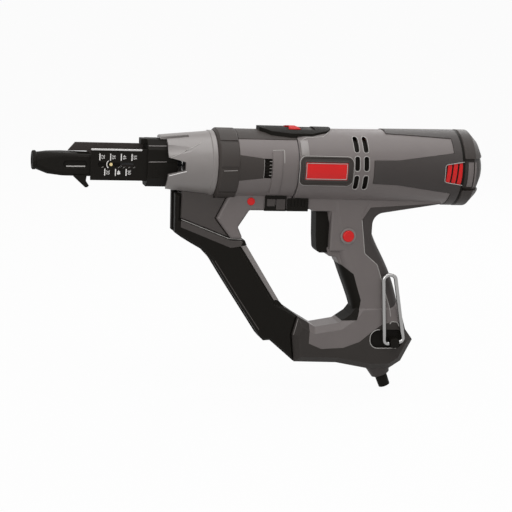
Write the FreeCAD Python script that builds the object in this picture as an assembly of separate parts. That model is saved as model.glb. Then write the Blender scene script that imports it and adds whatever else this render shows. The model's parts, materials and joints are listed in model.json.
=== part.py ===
import FreeCAD, Part
import math
import os

Vector = FreeCAD.Vector

# Clearances that every piece shares
OVERRUN = 6.0
SEAM = 0.2
HALF_SEAM = 0.05
SLIDE_GAP = 0.35
SEAT_GAP = 0.06
RUN_GAP = 0.04
FULL_TURN = 360.0
HALF_SHARE = 0.5

# Nosepiece and muzzle
MUZZLE_RING_RADIUS = 9.8
MUZZLE_RING_LENGTH = 4.0
MUZZLE_RING_ROUND = 0.8
BUSH_BORE_RADIUS = 5.5
BUSH_WALL = 1.6
BUSH_LENGTH = 14.0
NOSE_LENGTH = 60.0
NOSE_TUBE_LENGTH = 45.0
NOSE_HALF_WIDTH = 12.4
NOSE_TOP = 9.1
NOSE_DEPTH = 14.6
NOSE_BORE_RADIUS = 6.0
NOSE_SLOT_HALF_WIDTH = 5.2
NOSE_CORNER = 3.5
NOSE_STATION_SHARES = (0.045, 0.25, 0.5, 1.0)
NOSE_WIDTH_SHARES = (0.66, 0.83, 0.97, 1.0)
NOSE_TOP_SHARES = (0.88, 1.0, 1.0, 0.9)
NOSE_DEPTH_SHARES = (0.60, 0.90, 0.99, 1.0)
NOSE_CORNER_SHARES = (2.2, 1.7, 1.2, 1.0)
NOSE_WINDOW_LENGTH = 25.0
NOSE_WINDOW_HEIGHT = 7.8
NOSE_WINDOW_START = 30.4
NOSE_WINDOW_RISE = -2.2
NOSE_WINDOW_DEPTH = 2.2
RAIL_LENGTH = 29.0
RAIL_THICKNESS = 2.9
RAIL_TOP = 6.0
RAIL_DEPTH = 7.2
TAB_REACH = 11.3
TAB_SETBACK = 41.0
TAB_RUN = 16.3
TAB_OUTLINE_SHARES = (
    (-0.03, -0.10), (0.03, 0.03), (0.76, 0.98), (0.90, 0.97), (1.0, 0.82), (0.80, 0.38), (0.84, -0.10),
)
PIN_RADIUS = 1.6
PIN_SETBACK = 18.7
PIN_DROP = 1.3
PIN_STANDOUT = 0.8

# Feed plates, block and sprocket
PLATE_OVERLAP = 2.0
PLATE_LENGTH = 58.5
PLATE_TONGUE = 14.0
PLATE_TONGUE_HALF = 12.0
PLATE_THICKNESS = 2.2
PLATE_NEAR_TOP = 14.7
PLATE_FAR_TOP = 17.2
PLATE_DEPTH = 17.7
HOOD_REACH = 19.8
HOOD_SLOPE_RUN = 7.4
HOOD_FOOT = 8.4
SET_OUT = 11.6
SET_IN = 21.7
NOTCH_PITCH = 5.5
NOTCH_RADIUS = 1.0
NOTCH_COUNT = 7
BLOCK_LENGTH = 31.0
BLOCK_STANDOUT = 13.5
BLOCK_HALF_WIDTH = 17.2
BLOCK_HALF_HEIGHT = 24.5
BLOCK_CHAMFER = 9.6
BLOCK_FRONT_WALL = 5.0
BLOCK_BORE_RADIUS = 11.4
BLOCK_BIT_HOLE = 4.6
BLOCK_STEP_DEPTH = 0.9
BLOCK_NOSE_LENGTH = 6.0
BLOCK_NOSE_HALF = 6.0
BLOCK_NOSE_HEIGHT = 5.7
PLATE_SCREW_SETBACK = 8.4
PLATE_SCREW_DROP = 9.5
PLATE_SCREW_HEAD = 3.7
PLATE_SCREW_SHANK = 1.6
PLATE_SCREW_HEAD_HEIGHT = 2.0
PLATE_SCREW_STANDOUT = 0.5
SPROCKET_SETBACK = 29.0
SPROCKET_DROP = 10.0
SPROCKET_RADIUS = 7.4
SPROCKET_ROOT = 4.6
SPROCKET_TEETH = 6
SPROCKET_TOOTH_HALF_ANGLE = 11.0
SPROCKET_INNER = 4.4
SPROCKET_OUTER = 7.8
SPROCKET_AXLE = 1.5

# Cone, collar and top cover
CONE_LENGTH = 51.0
CONE_FRONT_RADIUS = 28.6
CONE_REAR_RADIUS = 33.4
CONE_BORE_RADIUS = 26.1
CONE_LIP = 0.8
RIM_LENGTH = 6.0
RIM_RADIUS = 34.3
CLAW_DEPTH = 23.5
CLAW_FRONT_HALF = 9.5
CLAW_REAR_HALF = 4.4
TINE_HALF = 8.5
TINE_REACH = 6.0
TINE_SLOT = 4.6
TOP_NOTCH_LENGTH = 29.0
STRIP_NOTCH_LENGTH = 33.5
STRIP_NOTCH_HALF = 13.4
FLUTE_RADIUS = 11.0
FLUTE_DEPTH = 1.9
FLUTE_LENGTH = 40.0
FLUTE_ANGLE = 33.0
COLLAR_LENGTH = 21.8
COLLAR_RADIUS = 36.2
COLLAR_BORE_RADIUS = 26.6
COLLAR_ROUND = 1.5
PAD_RISE = 0.9
PAD_COUNT = 8
PAD_GAP = 3.4
PAD_MARGIN = 2.4
TONGUE_HALF_FRONT = 13.8
TONGUE_HALF_REAR = 10.2
TONGUE_LENGTH = 25.0
TONGUE_SKIN = 1.6
TOP_COVER_HALF = 22.0
TOP_COVER_SKIN = 1.8
TOP_COVER_RISE = 0.5

# Front housing
FRONT_LENGTH = 62.4
HOUSING_GAP = 0.8
FRONT_RADIUS = 36.0
SHELL_WALL = 2.6
FRONT_HALF_WIDTH = 17.5
FRONT_EDGE = 3.0
FRONT_CORNER = 2.0
WHEEL_SETBACK = 25.0
WHEEL_WIDTH = 9.0
WHEEL_RADIUS = 33.0
WHEEL_RIBS = 60
WHEEL_RIB_DEPTH = 0.9
WHEEL_WINDOW_HALF = 10.2
WHEEL_RIB_RING = 1.8
WHEEL_RING_BORE = 29.5
POST_LENGTH = 10.0
POST_TOP = 17.6
POST_LOW = 28.0
POST_RISE = 1.4
STOP_WALL = 6.8
STOP_LENGTH = 18.5
STOP_LEAD = 4.5

# Guide arm
ARM_RUN = 145.0
ARM_DROP = 185.0
ARM_TOP = 30.0
ARM_SETBACK = 16.0
ARM_HALF_WIDTH = 15.5
ARM_BEVEL = 2.6
ARM_BEVEL_DEPTH = 3.0
ARM_SHELL_HALF_WIDTH = 14.5
SHELL_BEVEL = 1.2
ARM_SHELL_WALL = 2.6
CHANNEL_HALF_WIDTH = 8.4
CHANNEL_LIP_HALF = 6.2
CHANNEL_DEPTH = 9.0
CHANNEL_LIP = 2.6
RAIL_STRIP_HALF = 11.6
GUIDE_OUTLINE_SHARES = (
    (0.009, 0.003), (0.052, 0.003), (0.052, 0.149), (0.424, 0.262), (0.524, 0.266),
    (0.509, 0.302), (0.793, 0.632), (0.879, 0.664), (0.962, 0.707), (0.927, 0.816),
    (0.953, 0.976), (0.764, 0.851), (0.715, 0.853), (0.690, 0.832), (0.408, 0.509),
    (0.307, 0.389), (0.223, 0.322), (0.135, 0.284), (0.066, 0.252), (0.018, 0.226),
)
CHANNEL_FIRST = 12
GUIDE_RAIL_SHARES = (
    (0.512, 0.302), (0.556, 0.300), (0.818, 0.616), (0.783, 0.617),
)
RAIL_STOP_SHARES = (
    ((0.500, 0.270), (0.540, 0.269), (0.556, 0.297), (0.500, 0.297)),
    ((0.775, 0.6195), (0.820, 0.6195), (0.853, 0.648), (0.866, 0.663), (0.800, 0.645)),
)
ARM_SHELL_SHARES = (
    (0.054, -0.032), (0.414, -0.032), (0.308, 0.141), (0.4155, 0.249), (0.054, 0.142),
)
FRONT_LOWER_SHARES = (
    (0.448, -0.081), (0.313, 0.141), (0.426, 0.254), (0.517, 0.257), (0.477, 0.189),
    (0.555, 0.0925), (0.870, 0.0925), (0.870, -0.081),
)

# Motor housing, grip and base
MOTOR_LENGTH = 181.0
MOTOR_FRONT_RADIUS = 38.0
MOTOR_REAR_RADIUS = 40.0
MOTOR_WALL = 2.8
MOTOR_CHAMFER = 1.6
MOTOR_CHAMFER_LENGTH = 7.5
MOTOR_CHAMFER_LOW = 14.0
BODY_DROP = 225.0
NECK_HALF_WIDTH = 17.5
NECK_CORNER = 2.0
WEB_RADIUS = 13.0
NECK_SHARES = (
    (0.000, 0.044), (0.000, 0.2093), (0.241, 0.2093), (0.241, 0.400), (0.497, 0.400),
    (0.497, 0.222), (0.918, 0.168), (0.918, 0.044),
)
GRIP_HALF_WIDTH = 18.0
GRIP_CORNER = 13.0
GRIP_LEVEL_SHARES = (0.133, 0.285, 0.350, 0.431, 0.533, 0.653, 0.756)
GRIP_FRONT_SHARES = (0.213, 0.240, 0.264, 0.297, 0.347, 0.409, 0.440)
GRIP_REAR_SHARES = (0.560, 0.499, 0.530, 0.586, 0.649, 0.699, 0.737)
GUARD_HALF_WIDTH = 13.0
GUARD_CORNER = 2.5
GUARD_SHARES = (
    (0.230, 0.382), (0.244, 0.427), (0.294, 0.433), (0.310, 0.459), (0.346, 0.498),
    (0.418, 0.498), (0.418, 0.382),
)
BASE_HALF_WIDTH = 19.0
BASE_CAVITY_HALF = 10.5
BASE_BEVEL = 6.5
BASE_BEVEL_DEPTH = 5.5
BASE_CORNER = 5.0
BASE_WALL = 4.0
BASE_SHARES = (
    (0.076, 0.717), (0.188, 0.769), (0.332, 0.750), (0.404, 0.711), (0.456, 0.655),
    (0.700, 0.650), (0.7525, 0.783), (0.801, 0.834), (0.736, 0.940), (0.666, 0.9766),
    (0.536, 0.978), (0.329, 0.945), (0.069, 0.938), (0.048, 0.804),
)
SHOE_SHARES = (
    (-0.041, 0.667), (0.150, 0.711), (0.147, 0.845), (0.225, 0.872), (0.360, 0.868),
    (0.464, 0.838), (0.534, 0.790), (0.600, 0.752), (0.683, 0.740), (0.735, 0.757),
    (0.876, 0.757), (0.876, 1.031), (-0.041, 1.031),
)
GRIP_SKIN = 1.5
REAR_GRIP_SHARES = (
    (0.477, 0.188), (0.428, 0.249), (0.458, 0.409), (0.541, 0.464), (0.573, 0.535),
    (0.633, 0.667), (0.655, 0.729), (0.887, 0.729), (0.981, 0.160),
)
FRONT_GRIP_SHARES = (
    (0.169, 0.427), (0.282, 0.457), (0.328, 0.468), (0.398, 0.509), (0.454, 0.636),
    (0.450, 0.690), (0.436, 0.733), (0.336, 0.741), (0.169, 0.741),
)

# Vents, badges, rear band, louvres and cap
VENT_COLUMN_SETBACKS = (61.9, 71.9)
VENT_RISES = (25.7, 7.0, -12.8)
VENT_WIDTH = 6.0
VENT_HEIGHT = 15.5
BADGE_SETBACK = 1.0
BADGE_LENGTH = 55.8
BADGE_HALF_HEIGHT = 14.2
BADGE_CENTRE_DROP = 1.4
BADGE_CORNER = 6.0
BADGE_SKIN = 1.0
BADGE_RISE = 0.5
BADGE_MARGIN = 6.4
BADGE_FACE_SKIN = 0.7
BADGE_FACE_CORNER = 2.0
BAND_LENGTH = 11.6
BAND_GROOVE = 2.8
BAND_RISE = 0.8
BAND_SKIN = 1.6
BAND_SIDE_REACH = 88.9
BAND_SIDE_TOP_SHARES = (0.265, 0.278, 0.49)
BAND_SIDE_LOW_SHARES = (0.345, 0.37, 0.59)
BAND_SIDE_RUN_SHARES = (0.0, 0.30, 1.0)
BAND_TOP_REACH = 70.9
BAND_TOP_FRONT_HALF = 15.0
BAND_TOP_REAR_HALF = 22.7
LOUVRE_FRONT_HALF = 9.6
LOUVRE_REAR_HALF = 12.9
LOUVRE_LENGTH = 21.7
LOUVRE_MARGIN = 1.2
LOUVRE_LEAN = 0.9
LOUVRE_BACK = 1.0
LOUVRE_CORNER = 2.5
LOUVRE_SLATS = 3
LOUVRE_SLAT_THICKNESS = 4.6
LOUVRE_DEPTH = 4.4
CAP_LENGTH = 28.4
CAP_RADIUS = 41.0
CAP_WALL = 3.0
CAP_STATION_SHARES = (0.0, 0.035, 0.42, 0.74, 0.95, 1.0)
CAP_RADIUS_SHARES = (0.98, 1.0, 1.0, 0.78, 0.52, 0.34)
CAP_NOTCH_TOP = 14.5
CAP_NOTCH_LOW = 20.0
CAP_NOTCH_DEPTH = 4.0

# Controls
BEZEL_SETBACK = 25.5
BEZEL_LENGTH = 77.3
BEZEL_HALF_WIDTH = 20.0
BEZEL_RADIUS = 40.4
BEZEL_STATION_SHARES = (0.0, 0.14, 0.40, 0.70, 0.93, 1.0)
BEZEL_WIDTH_SHARES = (0.40, 0.84, 1.0, 1.0, 0.72, 0.30)
BEZEL_CORNER = 3.0
LEVER_SLOT_SETBACK = 27.2
LEVER_SLOT_LENGTH = 32.1
LEVER_SLOT_HALF = 12.5
LEVER_LENGTH = 12.9
LEVER_TOP = 41.0
LEVER_SLOT_DEPTH = 1.5
LEVER_SETBACK = 3.1
LEVER_OUTLINE_SHARES = ((0.0, -1.0), (1.0, -1.0), (0.75, 0.0), (1.0, 1.0), (0.0, 1.0), (0.25, 0.0))
TRIGGER_SHARES = (
    (0.157, 0.2115), (0.250, 0.2115), (0.250, 0.413), (0.190, 0.413), (0.172, 0.398), (0.164, 0.330),
)
TRIGGER_HALF_WIDTH = 9.8
TRIGGER_EDGE = 2.5
TRIGGER_CORNERS = (2.0, 0.5, 0.5, 3.0, 6.0, 20.0)
TRIGGER_TRAVEL = 7.0
STEM_RADIUS = 3.0
STEM_LENGTH = 11.0
SWITCH_LENGTH = 25.0
SWITCH_HALF_HEIGHT = 15.0
SWITCH_NEAR = 10.8
SWITCH_DROP = 72.0
SWITCH_CORNER = 2.0
LOCK_SETBACK = 63.0
LOCK_DROP = 73.1
LOCK_RADIUS = 6.2
LOCK_RING_RADIUS = 8.5
LOCK_RING_RISE = 0.8
LOCK_STANDOUT = 3.2
LOCK_LENGTH = 6.6
LOCK_ROUND = 1.2
RELEASE_SETBACK = 18.0
RELEASE_DROP = 37.3
RELEASE_RADIUS = 4.1
RELEASE_STANDOUT = 1.0
RELEASE_LENGTH = 5.0
RELEASE_ROUND = 0.8
LATCH_SETBACK = 57.0
LATCH_LENGTH = 22.5
LATCH_TOP = 32.5
LATCH_LOW = 42.5
LATCH_THICKNESS = 2.0
LATCH_TRAVEL = 6.0
LATCH_RIBS = 5
LATCH_RIB_WIDTH = 1.6
LATCH_RIB_DEPTH = 0.9
KEEPER_SETBACK = 32.6
KEEPER_LENGTH = 23.0
KEEPER_RISE = 2.0
KEEPER_WINDOW_LENGTH = 9.0
KEEPER_WINDOW_HEIGHT = 6.5

# Hook, cord outlet and fasteners
HOOK_WIRE = 2.1
HOOK_SPAN = 21.4
HOOK_TOP_SPAN = 13.2
HOOK_ARCH = 6.2
HOOK_HEIGHT = 75.5
HOOK_TILT = 8.0
HOOK_STANDOFF = 2.6
HOOK_SETBACK = 121.5
HOOK_DROP = 189.4
HOOK_PIVOT = 5.0
POCKET_LENGTH = 38.0
POCKET_HEIGHT = 20.5
POCKET_DEPTH = 4.0
POCKET_SETBACK = 114.0
POCKET_DROP = 185.8
POCKET_CORNER = 9.0
SOCKET_HALF_HEIGHT = 5.0
CORD_TILT = 23.0
CORD_SETBACK = 112.0
CORD_DROP = 219.9
CORD_BORE_RADIUS = 4.1
SLEEVE_TOP_RADIUS = 7.3
SLEEVE_END_RADIUS = 6.2
SLEEVE_INNER_LENGTH = 10.0
SLEEVE_OUTER_LENGTH = 24.0
CORD_COLLAR_RADIUS = 13.6
CORD_COLLAR_END_RADIUS = 10.2
CORD_COLLAR_LENGTH = 9.5
CORD_COLLAR_INSET = 4.0
SCREW_HEAD_RADIUS = 3.2
SCREW_HEAD_HEIGHT = 2.6
SCREW_SHANK_RADIUS = 1.6
SCREW_LENGTH = 20.0
BOSS_RADIUS = 4.4
BOSS_SETBACKS = (12.0, 88.0, 82.0, 110.0)
BOSS_DROPS = (40.0, 45.0, 105.0, 150.0)
FRONT_BOSS_SETBACKS = (4.0, 52.0)
FRONT_BOSS_DROPS = (53.0, 40.0)

# Drive train
HEX_SIDES = 6
BIT_HEX_RADIUS = 3.66
BIT_TIP_SETBACK = 82.0
BIT_POINT_LENGTH = 5.0
BIT_POINT_RADIUS = 1.6
BIT_SHANK_IN_SPINDLE = 21.0
CASE_SETBACK = 22.8
CASE_NOSE_RADIUS = 13.0
CASE_NOSE_LENGTH = 21.0
CASE_RADIUS = 31.0
CASE_LENGTH = 58.0
CASE_FLANGE_SETBACK = 33.0
CASE_FLANGE_LENGTH = 5.0
BEARING_RADIUS = 10.0
BEARING_WIDTH = 10.0
BEARING_INSET = 2.0
CASE_RELIEF_RADIUS = 7.5
CASE_CAVITY_LENGTH = 27.0
SPINDLE_RADIUS = 6.0
CARRIER_RADIUS = 20.0
CARRIER_THICKNESS = 7.0
CARRIER_GAP = 1.5
PLANET_PIN_RADIUS = 2.4
GEAR_MODULE = 0.8
SUN_TEETH = 12
PLANET_TEETH = 24
PLANET_COUNT = 3
PRESSURE_ANGLE = 25.0
ADDENDUM_SHARE = 0.9
DEDENDUM_SHARE = 1.15
BACKLASH = 0.12
FLANK_STEPS = 5
RING_WIDTH = 15.0
RING_WALL = 3.1
GEAR_SIDE_GAP = 1.0
COVER_THICKNESS = 10.0
ARMATURE_BEARING_RADIUS = 11.0
ARMATURE_BEARING_WIDTH = 7.6
SHAFT_RADIUS = 4.0
FAN_SETBACK = 56.0
FAN_WIDTH = 14.0
FAN_RADIUS = 33.5
FAN_HUB_RADIUS = 9.0
FAN_DISC = 2.0
FAN_BLADES = 12
FAN_BLADE_THICKNESS = 1.6
CORE_SETBACK = 80.0
CORE_LENGTH = 48.0
CORE_RADIUS = 20.5
CORE_SLOTS = 12
CORE_SLOT_WIDTH = 2.2
CORE_SLOT_DEPTH = 5.0
AIR_GAP = 0.8
FIELD_RADIUS = 35.7
FIELD_OVERHANG = 4.0
COIL_OUTER = 33.0
COIL_INNER = 23.0
COIL_LENGTH = 5.0
COMMUTATOR_SETBACK = 142.6
COMMUTATOR_LENGTH = 16.0
COMMUTATOR_RADIUS = 12.0
HOLDER_LENGTH = 12.0
HOLDER_HALF_HEIGHT = 5.0
HOLDER_WALL = 1.4
HOLDER_INNER = 13.5
HOLDER_OUTER = 36.0
BRUSH_LENGTH = 16.0
REAR_BEARING_SETBACK = 164.6
REAR_BEARING_WIDTH = 8.0
REAR_BEARING_RADIUS = 9.5
BRACKET_THICKNESS = 12.0
BRACKET_RADIUS = 31.0
BRACKET_ARM_HALF = 8.0
SPRING_WIRE = 1.7
SPRING_MEAN_RADIUS = 9.4
SPRING_TURNS = 12

# Stations along the tool, muzzle first
plate_x0 = NOSE_LENGTH - PLATE_OVERLAP
block_x0 = plate_x0 + PLATE_LENGTH
block_x1 = block_x0 + BLOCK_LENGTH
cone_x0 = block_x0 + BLOCK_STANDOUT
cone_x1 = cone_x0 + CONE_LENGTH
rim_x1 = cone_x1 + RIM_LENGTH
collar_x0 = rim_x1 + SEAM
collar_x1 = collar_x0 + COLLAR_LENGTH
front_x0 = collar_x1 + SEAM
front_x1 = front_x0 + FRONT_LENGTH
motor_x0 = front_x1 + HOUSING_GAP
motor_x1 = motor_x0 + MOTOR_LENGTH
cap_x0 = motor_x1 + SEAM
cap_x1 = cap_x0 + CAP_LENGTH
arm_x0 = cone_x0 + ARM_SETBACK
plate_inner = NOSE_HALF_WIDTH + SLIDE_GAP
plate_outer = plate_inner + PLATE_THICKNESS
far_away = cap_x1 + BODY_DROP


def box(x0, x1, y0, y1, z0, z1):
    return Part.makeBox(x1 - x0, y1 - y0, z1 - z0, Vector(x0, y0, z0))


def rod_x(x0, x1, radius, y=0.0, z=0.0):
    return Part.makeCylinder(radius, x1 - x0, Vector(x0, y, z), Vector(1, 0, 0))


def rod_y(y0, y1, radius, x, z):
    return Part.makeCylinder(radius, y1 - y0, Vector(x, y0, z), Vector(0, 1, 0))


def tube_x(x0, x1, outer, inner):
    return rod_x(x0, x1, outer).cut(rod_x(x0 - OVERRUN, x1 + OVERRUN, inner))


def turned(points):
    corners = [Vector(x, 0, r) for x, r in points]
    face = Part.Face(Part.makePolygon(corners + corners[:1]))
    return face.revolve(Vector(0, 0, 0), Vector(1, 0, 0), FULL_TURN)


def spun(shape, degrees):
    copy = shape.copy()
    copy.rotate(Vector(0, 0, 0), Vector(1, 0, 0), degrees)
    return copy


def mirrored(shape):
    return shape.mirror(Vector(0, 0, 0), Vector(0, 1, 0))


def joined(shapes):
    whole = shapes[0]
    for shape in shapes[1:]:
        whole = whole.fuse(shape)
    return whole.removeSplitter()


def without(shape, cutters):
    for cutter in cutters:
        shape = shape.cut(cutter)
    return shape


# A closed outline in the side plane whose corners carry arcs
def rounded_wire(points, radii):
    corners = [Vector(x, 0, z) for x, z in points]
    arcs = []
    for i, here in enumerate(corners):
        back = (corners[i - 1] - here).normalize()
        ahead = (corners[(i + 1) % len(corners)] - here).normalize()
        half = back.getAngle(ahead) * HALF_SHARE
        reach = radii[i] / math.tan(half)
        inward = (back + ahead).normalize()
        middle = here + inward * (radii[i] / math.sin(half) - radii[i])
        arcs.append((here + back * reach, middle, here + ahead * reach, radii[i]))
    edges = []
    for i, (start, middle, end, radius) in enumerate(arcs):
        edges.append(Part.makeLine(arcs[i - 1][2], start))
        if radius > 0:
            edges.append(Part.Arc(start, middle, end).toShape())
    return Part.Wire(edges)


def slab(points, radius, y0, y1):
    radii = radius if isinstance(radius, (list, tuple)) else [radius] * len(points)
    face = Part.Face(rounded_wire(points, radii))
    face.translate(Vector(0, y0, 0))
    return face.extrude(Vector(0, y1 - y0, 0))


# A slab about the middle plane with its two side outlines rounded over
def soft_slab(points, radius, half_width, edge_radius):
    solid = slab(points, radius, -half_width, half_width)
    rims = []
    for edge in solid.Edges:
        limits = edge.BoundBox
        if limits.YLength < HALF_SEAM and abs(limits.YMax) > half_width - HALF_SEAM:
            rims.append(edge)
    return solid.makeFillet(edge_radius, rims)


# A closed outline drawn in by one distance, mitred at its corners
def drawn_in(points, distance):
    area = 0.0
    for i, (x, z) in enumerate(points):
        area += points[i - 1][0] * z - x * points[i - 1][1]
    side = 1.0 if area > 0 else -1.0
    moved = []
    for i, (x, z) in enumerate(points):
        here = Vector(x, 0, z)
        first = here - Vector(points[i - 1][0], 0, points[i - 1][1])
        ahead = points[(i + 1) % len(points)]
        second = Vector(ahead[0], 0, ahead[1]) - here
        normal_a = Vector(-first.z, 0, first.x).normalize() * side
        normal_b = Vector(-second.z, 0, second.x).normalize() * side
        middle = (normal_a + normal_b).normalize()
        place = here + middle * (distance / max(middle.dot(normal_a), HALF_SHARE))
        moved.append((place.x, place.z))
    return moved


# A slab about the middle plane whose side faces are bevelled all round
def bevelled_slab(points, half_width, bevel, bevel_depth):
    inner = drawn_in(points, bevel)
    wires = []
    shoulder = half_width - bevel_depth
    for outline, y in ((inner, -half_width), (points, -shoulder), (points, shoulder), (inner, half_width)):
        corners = [Vector(x, y, z) for x, z in outline]
        wires.append(Part.makePolygon(corners + corners[:1]))
    return Part.makeLoft(wires, True, True)


def placed(shares, x0, run, z0, drop):
    return [(x0 + s * run, z0 - t * drop) for s, t in shares]


def arm_points(shares):
    return placed(shares, arm_x0, ARM_RUN, -ARM_TOP, ARM_DROP)


def body_points(shares):
    return placed(shares, motor_x0, MOTOR_LENGTH, 0.0, BODY_DROP)


# A rounded rectangle in a level plane
def level_section(x0, x1, half_width, corner, z):
    outline = [(x0, half_width), (x1, half_width), (x1, -half_width), (x0, -half_width)]
    wire = rounded_wire(outline, [corner] * len(outline))
    wire.rotate(Vector(0, 0, 0), Vector(1, 0, 0), -FULL_TURN / 4)
    wire.translate(Vector(0, 0, z))
    return wire


# A rounded rectangle square to the spindle
def cross_section(x, half_width, top, low, corner):
    outline = [(-half_width, top), (half_width, top), (half_width, low), (-half_width, low)]
    wire = rounded_wire(outline, [corner] * len(outline))
    wire.rotate(Vector(0, 0, 0), Vector(0, 0, 1), FULL_TURN / 4)
    wire.translate(Vector(x, 0, 0))
    return wire


def slot_points(x0, x1, z_mid, height):
    half = height * HALF_SHARE
    return [(x0, z_mid + half), (x1, z_mid + half), (x1, z_mid - half), (x0, z_mid - half)]


# A closed outline seen from above, raised between two levels
def plan_prism(points, radius, z0, z1):
    wire = rounded_wire(points, [radius] * len(points))
    wire.rotate(Vector(0, 0, 0), Vector(1, 0, 0), -FULL_TURN / 4)
    wire.translate(Vector(0, 0, z0))
    return Part.Face(wire).extrude(Vector(0, 0, z1 - z0))


# A run of straight lines in the side plane at one depth, with arcs at its bends
def bent_line(points, radii, y):
    corners = [Vector(x, y, z) for x, z in points]
    edges = []
    last = corners[0]
    for i in range(1, len(corners) - 1):
        back = (corners[i - 1] - corners[i]).normalize()
        ahead = (corners[i + 1] - corners[i]).normalize()
        half = back.getAngle(ahead) * HALF_SHARE
        reach = radii[i] / math.tan(half)
        middle = corners[i] + (back + ahead).normalize() * (radii[i] / math.sin(half) - radii[i])
        edges.append(Part.makeLine(last, corners[i] + back * reach))
        last = corners[i] + ahead * reach
        edges.append(Part.Arc(corners[i] + back * reach, middle, last).toShape())
    edges.append(Part.makeLine(last, corners[-1]))
    return Part.Wire(edges)


def halves(shape):
    left = box(-OVERRUN, far_away, -far_away, -HALF_SEAM, -far_away, far_away)
    right = box(-OVERRUN, far_away, HALF_SEAM, far_away, -far_away, far_away)
    return shape.common(left), shape.common(right)


nodes = {}

# Nosepiece
bush_radius = BUSH_BORE_RADIUS + BUSH_WALL
rail_inner = NOSE_HALF_WIDTH - RAIL_THICKNESS
sections = []
for i, station in enumerate(NOSE_STATION_SHARES):
    sections.append(cross_section(
        station * NOSE_LENGTH, NOSE_WIDTH_SHARES[i] * NOSE_HALF_WIDTH, NOSE_TOP_SHARES[i] * NOSE_TOP,
        -NOSE_DEPTH_SHARES[i] * NOSE_DEPTH, NOSE_CORNER_SHARES[i] * NOSE_CORNER))
boat = Part.makeLoft(sections, True, True)
ring_edge = MUZZLE_RING_RADIUS - MUZZLE_RING_ROUND
muzzle_ring = turned([
    (0.0, 0.0), (0.0, ring_edge), (MUZZLE_RING_ROUND, MUZZLE_RING_RADIUS),
    (MUZZLE_RING_LENGTH - MUZZLE_RING_ROUND, MUZZLE_RING_RADIUS), (MUZZLE_RING_LENGTH, ring_edge),
    (MUZZLE_RING_LENGTH, 0.0)])
rail_x1 = NOSE_LENGTH + RAIL_LENGTH
rails = box(NOSE_TUBE_LENGTH, rail_x1, -NOSE_HALF_WIDTH, NOSE_HALF_WIDTH, -RAIL_DEPTH, RAIL_TOP)
tab = slab(placed(TAB_OUTLINE_SHARES, TAB_SETBACK, TAB_RUN, -NOSE_DEPTH, TAB_REACH), 0.0,
           -NOSE_HALF_WIDTH, -rail_inner)
channel = box(NOSE_TUBE_LENGTH, rail_x1 + OVERRUN, -rail_inner, rail_inner, -far_away, far_away)
window_mid = NOSE_WINDOW_START + NOSE_WINDOW_LENGTH
window = slab(slot_points(NOSE_WINDOW_START, window_mid, NOSE_WINDOW_RISE, NOSE_WINDOW_HEIGHT),
              NOSE_WINDOW_HEIGHT * HALF_SHARE - HALF_SEAM, -NOSE_HALF_WIDTH - OVERRUN,
              -NOSE_HALF_WIDTH + NOSE_WINDOW_DEPTH)
pin_x = NOSE_LENGTH + PIN_SETBACK
nosepiece = without(joined([boat, muzzle_ring, rails]), [
    channel,
    rod_x(-OVERRUN, NOSE_TUBE_LENGTH + OVERRUN, NOSE_BORE_RADIUS),
    rod_x(-OVERRUN, BUSH_LENGTH + SEAT_GAP, bush_radius + SEAT_GAP),
    box(BUSH_LENGTH + BUSH_WALL, NOSE_TUBE_LENGTH + OVERRUN, -NOSE_SLOT_HALF_WIDTH, NOSE_SLOT_HALF_WIDTH,
        -NOSE_DEPTH - OVERRUN, 0.0),
    window, mirrored(window)])
nosepiece = joined([nosepiece, tab])
nodes["nosepiece"] = nosepiece.cut(rod_y(-plate_outer, 0.0, PIN_RADIUS + SEAT_GAP, pin_x, -PIN_DROP))
nodes["muzzle_bush"] = tube_x(0.0, BUSH_LENGTH, bush_radius, BUSH_BORE_RADIUS)
nodes["length_pin"] = rod_y(-plate_outer - PIN_STANDOUT, -rail_inner, PIN_RADIUS, pin_x, -PIN_DROP)

# Feed plates with the pointer slot and its row of notches
slot_half = PIN_RADIUS + SLIDE_GAP
slot_outline = slot_points(pin_x - SET_OUT - slot_half, pin_x + SET_IN + slot_half, -PIN_DROP, slot_half * 2)
pointer_slot = slab(slot_outline, slot_half - HALF_SEAM, -plate_outer - OVERRUN, plate_outer + OVERRUN)
sprocket_x = plate_x0 + SPROCKET_SETBACK
axle_hole = rod_y(-far_away, far_away, SPROCKET_AXLE + RUN_GAP, sprocket_x, -SPROCKET_DROP)
notches = []
for i in range(NOTCH_COUNT):
    notches.append(rod_y(-plate_outer - OVERRUN, plate_outer + OVERRUN, NOTCH_RADIUS,
                         pin_x - SET_OUT + i * NOTCH_PITCH, -PIN_DROP - slot_half))
near_points = [
    (plate_x0, PLATE_NEAR_TOP), (block_x0, PLATE_NEAR_TOP), (block_x0, PLATE_TONGUE_HALF),
    (block_x0 + PLATE_TONGUE, PLATE_TONGUE_HALF), (block_x0 + PLATE_TONGUE, -PLATE_TONGUE_HALF),
    (block_x0, -PLATE_TONGUE_HALF), (block_x0, -PLATE_DEPTH), (plate_x0, -PLATE_DEPTH)]
hood_x0 = plate_x0 - HOOD_REACH
far_points = [(hood_x0, HOOD_FOOT), (hood_x0 + HOOD_SLOPE_RUN, PLATE_FAR_TOP), (block_x0, PLATE_FAR_TOP)]
far_points += near_points[2:] + [(plate_x0, HOOD_FOOT)]
screw_x = block_x0 + PLATE_SCREW_SETBACK
shank_hole = rod_y(-far_away, far_away, PLATE_SCREW_SHANK + SEAT_GAP, screw_x, -PLATE_SCREW_DROP)
near_plate = slab(near_points, 0.0, -plate_outer, -plate_inner)
far_plate = slab(far_points, 0.0, plate_inner, plate_outer)
nodes["feed_plate_left"] = without(near_plate, [pointer_slot, axle_hole, shank_hole] + notches)
nodes["feed_plate_right"] = without(far_plate, [axle_hole, shank_hole])

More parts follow.
